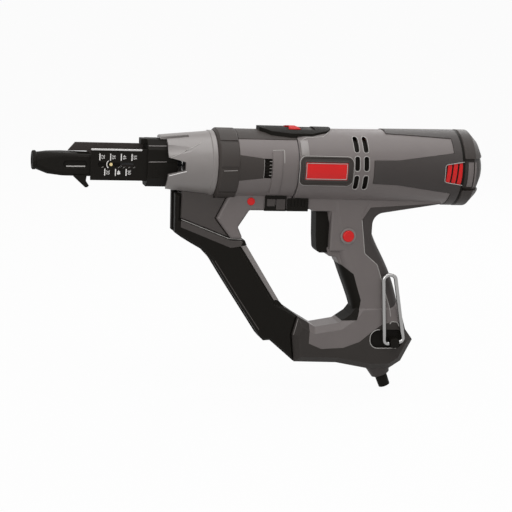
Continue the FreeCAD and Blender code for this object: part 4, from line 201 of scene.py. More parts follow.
def share(name, description, default):
    """A share from nothing to all that the user can change."""
    return FloatProperty(name=name, description=description, subtype="FACTOR", min=0, max=1, default=default)


def power(name, description, default):
    """A lamp's power in watts that the user can change."""
    return FloatProperty(name=name, description=description, unit="POWER", default=default)


def angle(name, description, degrees):
    """An angle that the user can change."""
    return FloatProperty(name=name, description=description, subtype="ANGLE", default=math.radians(degrees))


class FinishSettings(bpy.types.PropertyGroup):
    """Colours and textures of the plastics and metals"""

    housing: colour("Housing", "Grey of the moulded housings", (0.135, 0.118, 0.114))
    # Overmould's grey also colours the far feed plate, where it is painted reflection on black plastic.
    overmould: colour("Overmould", "Dark grey of the collar, top cover and cap", (0.039, 0.033, 0.030))
    # Black also colours sheets of painted shade: the lever's recess, the hook's pocket, behind the vents,
    # between the louvres and the cap's groove.
    black: colour("Black", "Black of the nose, feed block and guide arm", (0.0085, 0.0075, 0.0062))
    # Shade's grey also colours painted light: the guide arm's shoulder band and the line along its edge.
    shade: colour("Shade", "Middle grey of the arm shell and the pads", (0.053, 0.046, 0.043))
    base: colour("Base", "Dark grey of the base", (0.028, 0.024, 0.0215))
    rubber: colour("Rubber", "Black of the soft grips and the rear band", (0.045, 0.039, 0.037))
    # Edge grey colours pale lines, most of them painted highlights on edges and rims.
    edge_grey: colour("Edge grey", "Pale grey of rims, seams and outlines", (0.34, 0.325, 0.31))
    # The cone's grey also colours painted highlights along edges and on the barrel's front facets.
    cone: colour("Cone", "Silver grey of the nose cone", (0.175, 0.159, 0.152))
    accent: colour("Accent", "Red of the buttons, louvres and side plates", (0.56, 0.010, 0.010))
    lever_red: colour("Lever red", "Red of the direction lever", (0.42, 0.004, 0.003))
    # This white also colours painted highlights: the line on the cone's claw and the arc in the muzzle's
    # bore.
    print_white: colour("Print", "White of the printed scale", (0.72, 0.70, 0.68))
    # Steel also colours the bright strip, a painted highlight on the feed plate's edge.
    steel: colour("Steel", "Bare steel", (0.52, 0.51, 0.50))
    chrome: colour("Chrome", "Bright wire and rings", (0.34, 0.335, 0.33))
    alloy: colour("Alloy", "Cast gear case", (0.46, 0.46, 0.47))
    copper: colour("Copper", "Windings and commutator", (0.62, 0.25, 0.12))
    brass: colour("Brass", "Setting pin and brush holders", (0.66, 0.52, 0.27))
    # Carbon also colours the driver bit, whose black is painted shade inside the nose.
    carbon: colour("Carbon", "Motor brushes", (0.03, 0.03, 0.032))
    grain: size("Grain", "Width of one grain of the moulded surface", 0.0007)
    grain_depth: size("Grain depth", "Depth of the moulded grain", 0.00005)
    edge: size("Edge", "Radius that softens every edge", 0.0006)
    # Edges turn pale partly as wear and partly as painted highlight.
    wear_and_highlight: share("Wear", "How far rubbed edges turn pale", 0.5)


class ScaleSettings(bpy.types.PropertyGroup):
    """The screw-length scale printed on the near feed plate"""

    first: IntProperty(name="First", description="Shortest screw on the scale, in millimetres", default=25)
    step: IntProperty(name="Step", description="Screw length from one mark to the next", default=5)
    marks: IntProperty(name="Marks", description="Number of marks, in two staggered rows", default=7)
    pitch: size("Pitch", "Distance from one mark to the next", 0.0055)
    setback: size("Setback", "First mark behind the plate's front edge", 0.0091)
    upper: size("Upper row", "Middle of the upper row below the plate's top", 0.0085)
    lower: size("Lower row", "Middle of the lower row below the plate's top", 0.0240)
    tick: size("Tick length", "Length of a tick", 0.0072)
    tick_width: size("Tick width", "Width of a tick", 0.0011)
    number_size: size("Number size", "Font size of the numbers", 0.0047)
    number_offset: size("Number offset", "Middle of a number behind its tick", 0.0031)
    ink: size("Ink", "Thickness of the printed marks", 0.00012)


class TrimSettings(bpy.types.PropertyGroup):
    """Small trims on the housings"""

    # The bright strip is a painted highlight on the feed plate's bevelled top edge.
    strip: size("Strip", "Height of the bright strip on the feed plate's edge", 0.0017)
    strip_depth: size("Strip depth", "How far the strip stands off the plate", 0.0007)
    # Most of these pale beads are painted highlights along edges.
    line: size("Line", "Radius of the pale beads along seams and outlines", 0.00042)
    # The bead round the pocket is a painted highlight.
    rim: size("Rim", "Radius of the bead round the hook's pocket", 0.0005)
    barrel_front: size("Barrel front", "Radius of the motor housing's barrel at its front", 0.038)
    barrel_rear: size("Barrel rear", "Radius of the barrel at its rear", 0.040)
    badge_rise: size("Badge rise", "How far the side plates stand off the barrel", 0.0005)
    band_rise: size("Band rise", "How far the rear band stands off the barrel", 0.0008)
    frame: size("Frame", "Radius of the dark beads that frame the side plates", 0.0010)
    slat_margin: size("Slat margin", "First gap of the louvres behind their front", 0.0012)
    slat_pitch: size("Slat pitch", "Distance from one gap of the louvres to the next", 0.00643)
    slat_lean: size("Slat lean", "How far the louvres lean at their ends", 0.0009)
    # The black between two louvres is painted shade.
    slat_gap: size("Slat gap", "Radius of the dark filling between two louvres", 0.0010)
    drum: size("Drum", "Radius of the front housing's drum", 0.0361)
    recess_setback: size("Recess setback", "Lever's recess behind the bezel's front", 0.0274)
    recess_length: size("Recess length", "Length of the lever's recess", 0.0317)
    recess_floor: size("Recess floor", "Radius of the lever's floor", 0.0390)
    # The nose window's pale lip is a painted highlight on its lit lower face.
    lip: size("Lip", "Radius of the pale lip in the nose window", 0.0008)
    lip_depth: size("Lip depth", "How deep the lip lies in the nose", 0.0018)
    ink_line: size("Ink line", "Radius of the fine dashes beside the setting slot", 0.0002)
    # The pale arc in the muzzle's bore is a painted highlight.
    glint: size("Glint", "Radius of the pale arc in the muzzle's bore", 0.0050)
    # The black sheet behind the vents is painted shade inside them.
    screen: size("Screen", "Radius of the dark screen behind the vents", 0.0350)
    floor: size("Cap floor", "Radius of the floor of the cap's recess", 0.037)
    # The groove is a black ring of painted shade.
    groove: size("Groove", "Width of the dark groove in front of the cap", 0.0026)
    rib_width: size("Rib width", "Width of the wide rib in the cap's recess", 0.0060)
    thin_rib_width: size("Thin rib width", "Width of the narrow rib in the cap's recess", 0.0018)
    rib_height: size("Rib height", "How far the cap's ribs stand off the recess", 0.0018)
    pad: size("Pad", "How far the keeper's pads stand out", 0.0007)
    facet: size("Facet", "How far the guide arm's shoulder stands out", 0.0003)
    shoulder: size("Shoulder", "Thickness of the guide arm's shoulder", 0.0030)
    seam_half: size("Seam half", "Half the width of the filling at the guide arm's foot", 0.0010)
    seam_depth: size("Seam depth", "Half the thickness of the filling at the guide arm's foot", 0.0110)
    pocket_depth: size("Pocket depth", "Depth of the hook's pocket", 0.004)


class SpringSettings(bpy.types.PropertyGroup):
    """The spring that pushes the nose out"""

    wire: size("Wire", "Thickness of the spring's wire", 0.0017)
    turns: IntProperty(name="Turns", description="Number of turns", default=12)
    steps: IntProperty(name="Steps", description="Points in one turn", default=24)


class StageSettings(bpy.types.PropertyGroup):
    """Camera, lamps and floor"""

    camera_place: FloatVectorProperty(name="Camera place", description="Where the camera stands",
                                      subtype="TRANSLATION", size=3, default=(-0.217003, -1.707071, 0.244800))
    heading: angle("Heading", "Turn of the camera about the upright axis", 15.0)
    tilt: angle("Tilt", "How far the camera looks down", 11.0)
    roll: angle("Roll", "Turn of the camera about its own axis", 3.1372)
    lens: FloatProperty(name="Lens", description="Focal length in millimetres", default=119.4)
    floor_size: size("Floor", "Side of the square floor", 80.0)
    ambient: FloatProperty(name="Ambient", description="Strength of the light from all round", default=0.26)
    top_light: power("Top light", "Power of the lamp above", 18.0)
    key_light: power("Key light", "Power of the front lamp", 16.0)
    rim_light: power("Rim light", "Power of the lamp behind", 9.0)


def settings(group):
    """The scene's values of one group."""
    return getattr(bpy.context.scene, "screwdriver_" + group)


def add(tree, kind, inputs=(), **properties):
    """One node of a tree, with its properties set and its inputs filled by values or by other nodes."""
    made = tree.nodes.new(kind)
    for name, value in properties.items():
        setattr(made, name, value)
    for key, value in dict(inputs).items():
        if isinstance(value, bpy.types.NodeSocket):
            tree.links.new(value, made.inputs[key])
        else:
            made.inputs[key].default_value = value
    return made


def blank_material(name):
    """A new material with an empty node tree."""
    material = bpy.data.materials.new(name)
    material.use_nodes = True
    material.node_tree.nodes.clear()
    return material


def tinted(rgb, gain):
    """A colour made lighter or darker, as four numbers."""
    return (*(min(1.0, part * gain) for part in rgb), 1.0)


def mixed(tree, factor, first, second):
    """The output of a colour mix."""
    mix = add(tree, "ShaderNodeMix", {MIX_FACTOR: factor, MIX_A: first, MIX_B: second}, data_type="RGBA")
    return mix.outputs[MIX_RESULT]


def noise(tree, grain, stretch=(1, 1, 1)):
    """Noise on the object's own coordinates, with patches about as wide as the grain."""
    coordinates = add(tree, "ShaderNodeTexCoord")
    mapping = add(tree, "ShaderNodeMapping", {"Vector": coordinates.outputs["Object"], "Scale": stretch})
    made = add(tree, "ShaderNodeTexNoise",
               {"Vector": mapping.outputs["Vector"], "Scale": 1 / grain, "Detail": NOISE_DETAIL})
    return made.outputs["Fac"]


def ranged(tree, value, low, high, out_low, out_high):
    """A value carried from one range to another."""
    made = add(tree, "ShaderNodeMapRange",
               {"Value": value, "From Min": low, "From Max": high, "To Min": out_low, "To Max": out_high})
    return made.outputs["Result"]


def worn_and_highlit_edges(tree, edge, patch):
    """A mask that is 1 on edges and broken up by soft patches."""
    soft = add(tree, "ShaderNodeBevel", {"Radius": edge}, samples=EDGE_SAMPLES)
    sharp = add(tree, "ShaderNodeNewGeometry")
    match = add(tree, "ShaderNodeVectorMath", {0: soft.outputs["Normal"], 1: sharp.outputs["Normal"]},
                operation="DOT_PRODUCT")
    turned = ranged(tree, match.outputs["Value"], FLAT_MATCH, WORN_AND_LIT_MATCH, 0.0, 1.0)
    patches = ranged(tree, noise(tree, patch), *PATCH_NOISE, *PATCH_WEAR_AND_HIGHLIGHT)
    made = add(tree, "ShaderNodeMath", {0: turned, 1: patches}, operation="MULTIPLY")
    return made.outputs["Value"]


def finished(name, row, stretch):
    """A moulded, cast or brushed surface: mottled colour, grain in the gloss and the bump, and edges made
    pale, partly as rubbed wear and partly as painted highlight.
    """
    values = settings("finish")
    rgb, grain, depth = getattr(values, row.colour), values.grain * row.grain, values.grain_depth * row.depth
    material = blank_material(name)
    tree = material.node_tree
    grains = noise(tree, grain, stretch)
    clouds = noise(tree, grain * CLOUD_GRAINS)
    base = mixed(tree, clouds, tinted(rgb, 1 - row.mottle), tinted(rgb, 1 + row.mottle))
    # Edges turn pale partly as wear and partly as painted highlight.
    worn_and_lit = worn_and_highlit_edges(tree, values.edge * WEAR_AND_HIGHLIGHT_REACH, grain * PATCH_GRAINS)
    amount = add(tree, "ShaderNodeMath", {0: worn_and_lit, 1: values.wear_and_highlight}, operation="MULTIPLY")
    base = mixed(tree, amount.outputs["Value"], base, tinted(rgb, row.pale))
    smooth, rough = max(SMOOTHEST, row.roughness - SMOOTHER), row.roughness + ROUGHER
    gloss = ranged(tree, grains, *GRAIN_NOISE, smooth, rough)
    soft = add(tree, "ShaderNodeBevel", {"Radius": values.edge}, samples=EDGE_SAMPLES)
    bump = add(tree, "ShaderNodeBump", {"Strength": BUMP_STRENGTH, "Distance": depth, "Height": grains,
                                        "Normal": soft.outputs["Normal"]})
    shader = add(tree, "ShaderNodeBsdfPrincipled",
                 {"Base Color": base, "Roughness": gloss, "Normal": bump.outputs["Normal"],
                  "Metallic": row.metallic, "Specular IOR Level": row.specular})
    add(tree, "ShaderNodeOutputMaterial", {"Surface": shader.outputs["BSDF"]})
    return material


Finish = namedtuple("Finish", "colour roughness grain depth mottle pale specular metallic")
FINISHES = {
    "moulded_housing": Finish("housing", 0.46, 1.0, 1.0, 0.08, 1.9, 0.3, 0.0),
    "dark_overmould": Finish("overmould", 0.50, 1.0, 1.0, 0.08, 2.6, 0.18, 0.0),
    "mid_overmould": Finish("shade", 0.50, 1.0, 1.0, 0.08, 2.2, 0.2, 0.0),
    "base_overmould": Finish("base", 0.50, 1.0, 1.0, 0.08, 2.6, 0.18, 0.0),
    "black_moulding": Finish("black", 0.55, 1.0, 1.0, 0.08, 4.0, 0.06, 0.0),
    "soft_rubber": Finish("rubber", 0.55, 1.4, 2.5, 0.08, 1.7, 0.2, 0.0),
    "silver_cone": Finish("cone", 0.34, 0.6, 0.6, 0.05, 1.5, 0.6, 0.0),
    "pale_edge": Finish("edge_grey", 0.40, 0.6, 0.6, 0.08, 1.2, 0.4, 0.0),
    "accent_red": Finish("accent", 0.34, 1.0, 0.4, 0.06, 1.25, 0.3, 0.0),
    "deep_red": Finish("lever_red", 0.45, 1.0, 0.4, 0.06, 1.1, 0.08, 0.0),
    "brushed_steel": Finish("steel", 0.30, 0.5, 0.3, 0.08, 1.4, 0.5, 1.0),
    "bright_chrome": Finish("chrome", 0.10, 2.0, 0.1, 0.03, 1.1, 0.5, 1.0),
    "cast_alloy": Finish("alloy", 0.48, 1.5, 2.0, 0.08, 1.9, 0.5, 1.0),
    "wound_copper": Finish("copper", 0.32, 1.0, 1.0, 0.08, 1.9, 0.5, 1.0),
    "turned_brass": Finish("brass", 0.28, 0.5, 0.3, 0.08, 1.9, 0.5, 1.0),
    "pressed_carbon": Finish("carbon", 0.60, 0.5, 1.0, 0.08, 1.9, 0.5, 0.0),
    "printed_white": Finish("print_white", 0.55, 0.5, 0.3, 0.12, 1.1, 0.5, 0.0),
}
EVEN_GRAIN, DRAWN_GRAIN = (1, 1, 1), {"brushed_steel": (0.03, 1, 1)}
SLOT_FINISHES = {
    "shell_grey": "moulded_housing", "dark_grey": "dark_overmould", "black_plastic": "black_moulding",
    "grip_rubber": "soft_rubber", "cone_grey": "silver_cone", "accent_red": "accent_red",
    "steel": "brushed_steel", "chrome_wire": "bright_chrome", "case_alloy": "cast_alloy",
    "copper": "wound_copper", "pin_brass": "turned_brass", "carbon": "pressed_carbon",
}
# Own finishes of single pieces: the far feed plate's grey is painted reflection on black plastic, and the
# driver bit's black is painted shade inside the nose.
OWN_FINISHES = {
    "lock_ring": "silver_cone", "badges": "dark_overmould", "depth_wheel": "black_moulding",
    "muzzle_bush": "black_moulding", "feed_plate_right": "dark_overmould", "front_grip": "black_moulding",
    "driver_bit": "pressed_carbon", "cord_collar": "soft_rubber", "cord_sleeve": "black_moulding",
    "arm_shell": "mid_overmould", "guide_rail": "silver_cone", "plate_screws": "black_moulding",
    "housing_screws": "dark_overmould", "direction_lever": "deep_red", "base_shoe": "base_overmould",
}
# Edge lines, painted highlights along edges: name, finish, the nodes that they lie on, and corners in the
# side view.
EDGE_LINES = (
    ("bezel_edge", "pale_edge", ("lever_bezel", "motor_housing_left", "motor_housing_right"),
     ((0.2767, 0.0290), (0.2823, 0.0314), (0.2998, 0.0322), (0.3076, 0.0361))),
    ("claw_edge", "printed_white", ("nose_cone",), ((0.1370, -0.0102), (0.1500, -0.0062), (0.1545, -0.0052))),
    ("block_top_line", "silver_cone", ("feed_block",), ((0.1172, 0.0182), (0.1360, 0.0184))),
    ("block_middle_line", "silver_cone", ("feed_block",), ((0.1172, 0.0021), (0.1360, 0.0026))),
    ("strap_edge", "silver_cone", ("base_shoe", "strip_guide"), ((0.2868, -0.1638), (0.2826, -0.1815))),
    ("arm_edge", "mid_overmould", ("strip_guide",),
     ((0.1925, -0.1010), (0.2212, -0.1432), (0.2440, -0.1755))),
    ("pad_line", "silver_cone", ("front_collar",), ((0.1920, -0.0030), (0.2060, -0.0022))),
    ("post_edge", "pale_edge", ("front_housing_left", "front_housing_right"),
     ((0.2440, 0.0183), (0.2564, 0.0190), (0.2562, 0.0060))),
    ("flute_edge", "pale_edge", ("nose_cone",), ((0.1378, 0.0083), (0.1540, 0.0158), (0.1697, 0.0235))),
)
MADE = {}


def finish(name):
    """The material of one finish, made once."""
    if name not in MADE:
        stretch = DRAWN_GRAIN.get(name, EVEN_GRAIN)
        MADE[name] = finished(name.replace("_", " ").capitalize(), FINISHES[name], stretch)
    return MADE[name]


def body_of(node):
    """The body that carries a node of the frame."""
    return frame["nodes"][node]["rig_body"]


def piece_of(name, mesh, material):
    """One mesh with one finish, as an object at the origin."""
    piece = bpy.data.objects.new(name, mesh)
    bpy.context.scene.collection.objects.link(piece)
    mesh.materials.clear()
    mesh.materials.append(material)
    return piece


def placed(name, mesh, material, body):
    """A finished piece, riding on one body."""
    piece = piece_of(name, mesh, material)
    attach(piece, body)


def new_tree(name, inputs):
    """An empty geometry node tree with named inputs, and its input node."""
    tree = bpy.data.node_groups.new(name, "GeometryNodeTree")
    for label, kind in inputs:
        tree.interface.new_socket(label, in_out="INPUT", socket_type="NodeSocket" + kind)
    tree.interface.new_socket("Geometry", in_out="OUTPUT", socket_type="NodeSocketGeometry")
    return tree, add(tree, "NodeGroupInput").outputs


def close_tree(tree, geometry, material):
    """Ends a tree: instances become real and take their finish."""
    real = add(tree, "GeometryNodeRealizeInstances", {"Geometry": geometry})
    painted = add(tree, "GeometryNodeSetMaterial",
                  {"Geometry": real.outputs["Geometry"], "Material": material})
    add(tree, "NodeGroupOutput", {"Geometry": painted.outputs["Geometry"]})
    return tree


def round_rectangle(tree, width, height, corner_share, steps):
    """The outline of a rectangle whose corners are rounded by a share of its width."""
    outline = add(tree, "GeometryNodeCurvePrimitiveQuadrilateral", {"Width": width, "Height": height})
    corner = add(tree, "ShaderNodeMath", {0: width, 1: corner_share}, operation="MULTIPLY")
    rounded = add(tree, "GeometryNodeFilletCurve",
                  {"Curve": outline.outputs["Curve"], "Count": steps, "Radius": corner.outputs["Value"]},
                  mode="POLY")
    return rounded.outputs["Curve"]


def raised_face(tree, curve, height):
    """The face inside a closed curve, raised by the height and closed at its back."""
    face = add(tree, "GeometryNodeFillCurve", {"Curve": curve}, mode="NGONS").outputs["Mesh"]
    raised = add(tree, "GeometryNodeExtrudeMesh",
                 {"Mesh": face, "Offset Scale": height, "Individual": False})
    back = add(tree, "GeometryNodeFlipFaces", {"Mesh": face})
    both = add(tree, "GeometryNodeJoinGeometry")
    for half in (raised, back):
        tree.links.new(half.outputs["Mesh"], both.inputs["Geometry"])
    return both.outputs["Geometry"]


def bar_row_tree():
    """A row of flat bars with round corners, each standing off the plane that it lies on."""
    tree, value = new_tree("Row of bars", [
        ("Count", "Int"), ("Start", "Vector"), ("Step", "Vector"), ("Facing", "Vector"), ("Width", "Float"),
        ("Length", "Float"), ("Height", "Float"), ("Finish", "Material")])
    outline = round_rectangle(tree, value["Width"], value["Length"], BAR_CORNER, BAR_CORNER_STEPS)
    whole = add(tree, "GeometryNodeMergeByDistance",
                {"Geometry": raised_face(tree, outline, value["Height"]), "Distance": WELD})
    row = add(tree, "GeometryNodeMeshLine",
              {"Count": value["Count"], "Start Location": value["Start"], "Offset": value["Step"]},
              mode="OFFSET")
    bars = add(tree, "GeometryNodeInstanceOnPoints",
               {"Points": row.outputs["Mesh"], "Instance": whole.outputs["Geometry"],
                "Rotation": value["Facing"]})
    return close_tree(tree, bars.outputs["Instances"], value["Finish"])


def bead_tree():
    """A round bead along a path."""
    tree, value = new_tree("Bead along a path",
                           [("Path", "Geometry"), ("Bead", "Float"), ("Finish", "Material")])
    curve = add(tree, "GeometryNodeMeshToCurve", {"Mesh": value["Path"]})
    profile = add(tree, "GeometryNodeCurvePrimitiveCircle",
                  {"Resolution": BEAD_SIDES, "Radius": value["Bead"]})
    swept = add(tree, "GeometryNodeCurveToMesh",
                {"Curve": curve.outputs["Curve"], "Profile Curve": profile.outputs["Curve"],
                 "Fill Caps": True})
    return close_tree(tree, swept.outputs["Mesh"], value["Finish"])


def plate_tree():
    """A flat plate inside a closed path, raised off the side that it lies on."""
    tree, value = new_tree("Plate inside a path", [
        ("Path", "Geometry"), ("Place", "Vector"), ("Facing", "Vector"), ("Height", "Float"),
        ("Finish", "Material")])
    curve = add(tree, "GeometryNodeMeshToCurve", {"Mesh": value["Path"]})
    whole = raised_face(tree, curve.outputs["Curve"], value["Height"])
    put = add(tree, "GeometryNodeTransform",
              {"Geometry": whole, "Translation": value["Place"], "Rotation": value["Facing"]})
    return close_tree(tree, put.outputs["Geometry"], value["Finish"])


def rib_tree():
    """One rib that follows the round of the barrel, between two angles."""
    tree, value = new_tree("Rib round the barrel", [
        ("Place", "Vector"), ("Radius", "Float"), ("Start", "Float"), ("Sweep", "Float"), ("Width", "Float"),
        ("Height", "Float"), ("Finish", "Material")])
    arc = add(tree, "GeometryNodeCurveArc",
              {"Resolution": ARC_POINTS, "Radius": value["Radius"], "Start Angle": value["Start"],
               "Sweep Angle": value["Sweep"]}, mode="RADIUS")
    profile = round_rectangle(tree, value["Height"], value["Width"], RIB_CORNER, RIB_CORNER_STEPS)
    swept = add(tree, "GeometryNodeCurveToMesh",
                {"Curve": arc.outputs["Curve"], "Profile Curve": profile, "Fill Caps": True})
    put = add(tree, "GeometryNodeTransform",
              {"Geometry": swept.outputs["Mesh"], "Translation": value["Place"],
               "Rotation": (QUARTER_TURN, 0, QUARTER_TURN)})
    return close_tree(tree, put.outputs["Geometry"], value["Finish"])


def grown(tree, values, path=None):
    """The plain mesh that a geometry node tree gives with these inputs, along a path if it takes one."""
    host = bpy.data.objects.new(tree.name, path or bpy.data.meshes.new(tree.name))
    bpy.context.scene.collection.objects.link(host)
    modifier = host.modifiers.new(tree.name, "NODES")
    modifier.node_group = tree
    for item in tree.interface.items_tree:
        if item.in_out == "INPUT" and item.socket_type != "NodeSocketGeometry":
            modifier[item.identifier] = values[item.name]
    evaluated = host.evaluated_get(bpy.context.evaluated_depsgraph_get())
    mesh = bpy.data.meshes.new_from_object(evaluated)
    host.modifiers.remove(modifier)
    bpy.data.objects.remove(host)
    return mesh


def joined(meshes):
    """Several meshes as one, with doubles merged and faces turned outwards."""
    whole = bmesh.new()
    for mesh in meshes:
        whole.from_mesh(mesh)
    bmesh.ops.remove_doubles(whole, verts=whole.verts, dist=WELD)
    bmesh.ops.recalc_face_normals(whole, faces=whole.faces)
    made = bpy.data.meshes.new("joined")
    whole.to_mesh(made)
    whole.free()
    return made


def number_mesh(text, font_size, depth):
    """A number as a thin solid, lying flat about the origin."""
    letters = bpy.data.curves.new("number_" + text, "FONT")
    letters.body = text
    letters.size = font_size
    letters.extrude = depth
    letters.align_x = "CENTER"
    letters.align_y = "CENTER"
    holder = bpy.data.objects.new("number_" + text, letters)
    bpy.context.scene.collection.objects.link(holder)
    mesh = bpy.data.meshes.new_from_object(holder.evaluated_get(bpy.context.evaluated_depsgraph_get()))
    bpy.data.objects.remove(holder)
    return mesh


def route(points, closed):
    """A path through points, as a mesh of edges."""
    mesh = bpy.data.meshes.new("route")
    count = len(points)
    edges = [(i, (i + 1) % count) for i in range(count if closed else count - 1)]
    mesh.from_pydata(points, edges, [])
    return mesh


def softened(corners, radius, gap, closed=True):
    """Points along an outline whose corners are rounded, no further apart than the gap."""
    corners = [Vector(corner) for corner in corners]
    bends = []
    for i, here in enumerate(corners):
        if not closed and i in (0, len(corners) - 1):
            bends.append([here])
            continue
        back = (corners[i - 1] - here).normalized()
        ahead = (corners[(i + 1) % len(corners)] - here).normalized()
        half = back.angle(ahead) / 2
        reach = radius / math.tan(half)
        centre = here + (back + ahead).normalized() * (radius / math.sin(half))
        start, end = here + back * reach - centre, here + ahead * reach - centre
        bends.append([centre + start.lerp(end, step / BEND_STEPS).normalized() * radius
                      for step in range(BEND_STEPS + 1)])
    points = []
    for i, bend in enumerate(bends):
        points.extend(bend)
        if closed or i < len(bends) - 1:
            start, end = bend[-1], bends[(i + 1) % len(bends)][0]
            steps = max(1, math.ceil((end - start).length / gap))
            points.extend(start.lerp(end, step / steps) for step in range(1, steps))
    return points


def frame_of(low_x, high_x, low_z, high_z):
    """The four corners of an upright rectangle."""
    return [(low_x, high_z), (high_x, high_z), (high_x, low_z), (low_x, low_z)]


def on_barrel(points, rise, side):
    """Points of the side view laid on one side of the motor's barrel."""
    values = settings("trim")
    low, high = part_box("motor_housing_left")
    laid = []
    for x, z in points:
        along = (x - low.x) / (high.x - low.x)
        radius = values.barrel_front + (values.barrel_rear - values.barrel_front) * along + rise
        laid.append((x, side * math.sqrt(radius * radius - z * z), z))
    return laid


def on_side(points, depth):
    """Points of the side view laid at one depth."""
    return [(x, depth, z) for x, z in points]


def on_nodes(points, names, side):
    """Points of the side view laid on whichever of the named pieces stands out furthest there."""
    laid = []
    for x, z in points:
        depths = []
        for name in names:
            node = frame["nodes"][name]
            back = node.matrix_world.inverted()
            start = back @ Vector((x, side, z))
            hit, place, *_ = node.ray_cast(start, back.to_3x3() @ Vector((0, -side, 0)))
            if hit:
                depths.append((node.matrix_world @ place).y * side)
        laid.append((x, side * max(depths), z))
    return laid


def turned_points(radius, start, sweep):
    """Points on an arc about the origin, between two angles in degrees."""
    turns = [math.radians(start + sweep * step / MARK_STEPS) for step in range(MARK_STEPS + 1)]
    return [(radius * math.cos(turn), radius * math.sin(turn)) for turn in turns]


def body_place(shares):
    """Places of the side view from shares of the motor housing's length and drop."""
    low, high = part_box("motor_housing_left")
    return [(low.x + s * (high.x - low.x), -t * BODY_DROP) for s, t in shares]


def arm_place(shares):
    """Places of the side view from shares of the guide arm's run and drop."""
    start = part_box("motor_housing_left")[0].x - ARM_LEAD
    return [(start + s * ARM_RUN, -ARM_TOP - t * ARM_DROP) for s, t in shares]


def beads(paths, radius, material):
    """Beads of one finish along several paths, as one mesh. A path is its points and whether it closes."""
    tree = bead_tree()
    return joined([grown(tree, {"Bead": radius, "Finish": material}, route(points, closed))
                   for points, closed in paths])


def lay_beads(name, paths, radius, look, node):
    """One piece of beads, riding with a node."""
    material = finish(look)
    placed(name, beads(paths, radius, material), material, body_of(node))


def plate(points, depth, side, height, material):
    """A flat plate on one side of the tool."""
    flat = [(x, -side * z, 0) for x, z in points]
    return grown(plate_tree(), {"Place": (0, depth, 0), "Facing": facing(side), "Height": height,
                                "Finish": material}, route(flat, True))


def facing(side):
    """The turn that lays a flat piece on the near or the far side, looking outwards."""
    return (-side * QUARTER_TURN, 0, 0)


class SCREWDRIVER_OT_finishes(bpy.types.Operator):
    """Give every construction piece its plastic, rubber or metal finish"""

    bl_idname = "screwdriver.finishes"
    bl_label = "Finishes"

    def execute(self, context):
        for node in frame["nodes"].values():
            slot = node.data.materials[0].name
            name = OWN_FINISHES.get(node.name, SLOT_FINISHES[slot])
            node.data.materials.clear()
            node.data.materials.append(finish(name))
        return {"FINISHED"}


class SCREWDRIVER_OT_length_scale(bpy.types.Operator):
    """Print the screw-length scale on the near feed plate"""

    bl_idname = "screwdriver.length_scale"
    bl_label = "Length scale"

    def execute(self, context):
        values = settings("scale")
        low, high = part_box("feed_plate_left")
        front = low.x + values.setback
        rows = (values.upper, values.lower)
        body = body_of("feed_plate_left")
        white = finish("printed_white")
        tree = bar_row_tree()
        ticks = []
        for row, drop in enumerate(rows):
            start = (front + row * values.pitch, low.y, high.z - drop)
            ticks.append(grown(tree, {
                "Count": (values.marks + 1 - row) // 2, "Start": start, "Step": (values.pitch * 2, 0, 0),
                "Facing": facing(NEAR), "Width": values.tick_width, "Length": values.tick,
                "Height": values.ink, "Finish": white}))
        placed("scale_ticks", joined(ticks), white, body)
        numbers = []
        for mark in range(values.marks):
            number = number_mesh(str(values.first + mark * values.step), values.number_size, values.ink)
            place = (front + mark * values.pitch + values.number_offset, low.y, high.z - rows[mark % 2])
            number.transform(Matrix.Translation(place) @ READ_DOWN)
            numbers.append(number)
        placed("scale_numbers", joined(numbers), white, body)
        return {"FINISHED"}


class SCREWDRIVER_OT_plate_strip(bpy.types.Operator):
    """Lay a bright steel strip along the top edge of the near feed plate, a painted highlight on its bevelled
    edge
    """

    bl_idname = "screwdriver.plate_strip"
    bl_label = "Plate strip"

    def execute(self, context):
        values = settings("trim")
        low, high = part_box("feed_plate_left")
        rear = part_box("feed_block")[0].x
        steel = finish("brushed_steel")
        strip = grown(bar_row_tree(), {
            "Count": 1, "Start": ((low.x + rear) / 2, low.y, high.z - values.strip / 2), "Step": (0, 0, 0),
            "Facing": (QUARTER_TURN, QUARTER_TURN, 0), "Width": values.strip, "Length": rear - low.x,
            "Height": values.strip_depth, "Finish": steel})
        placed("plate_strip", joined([strip]), steel, body_of("feed_plate_left"))
        return {"FINISHED"}


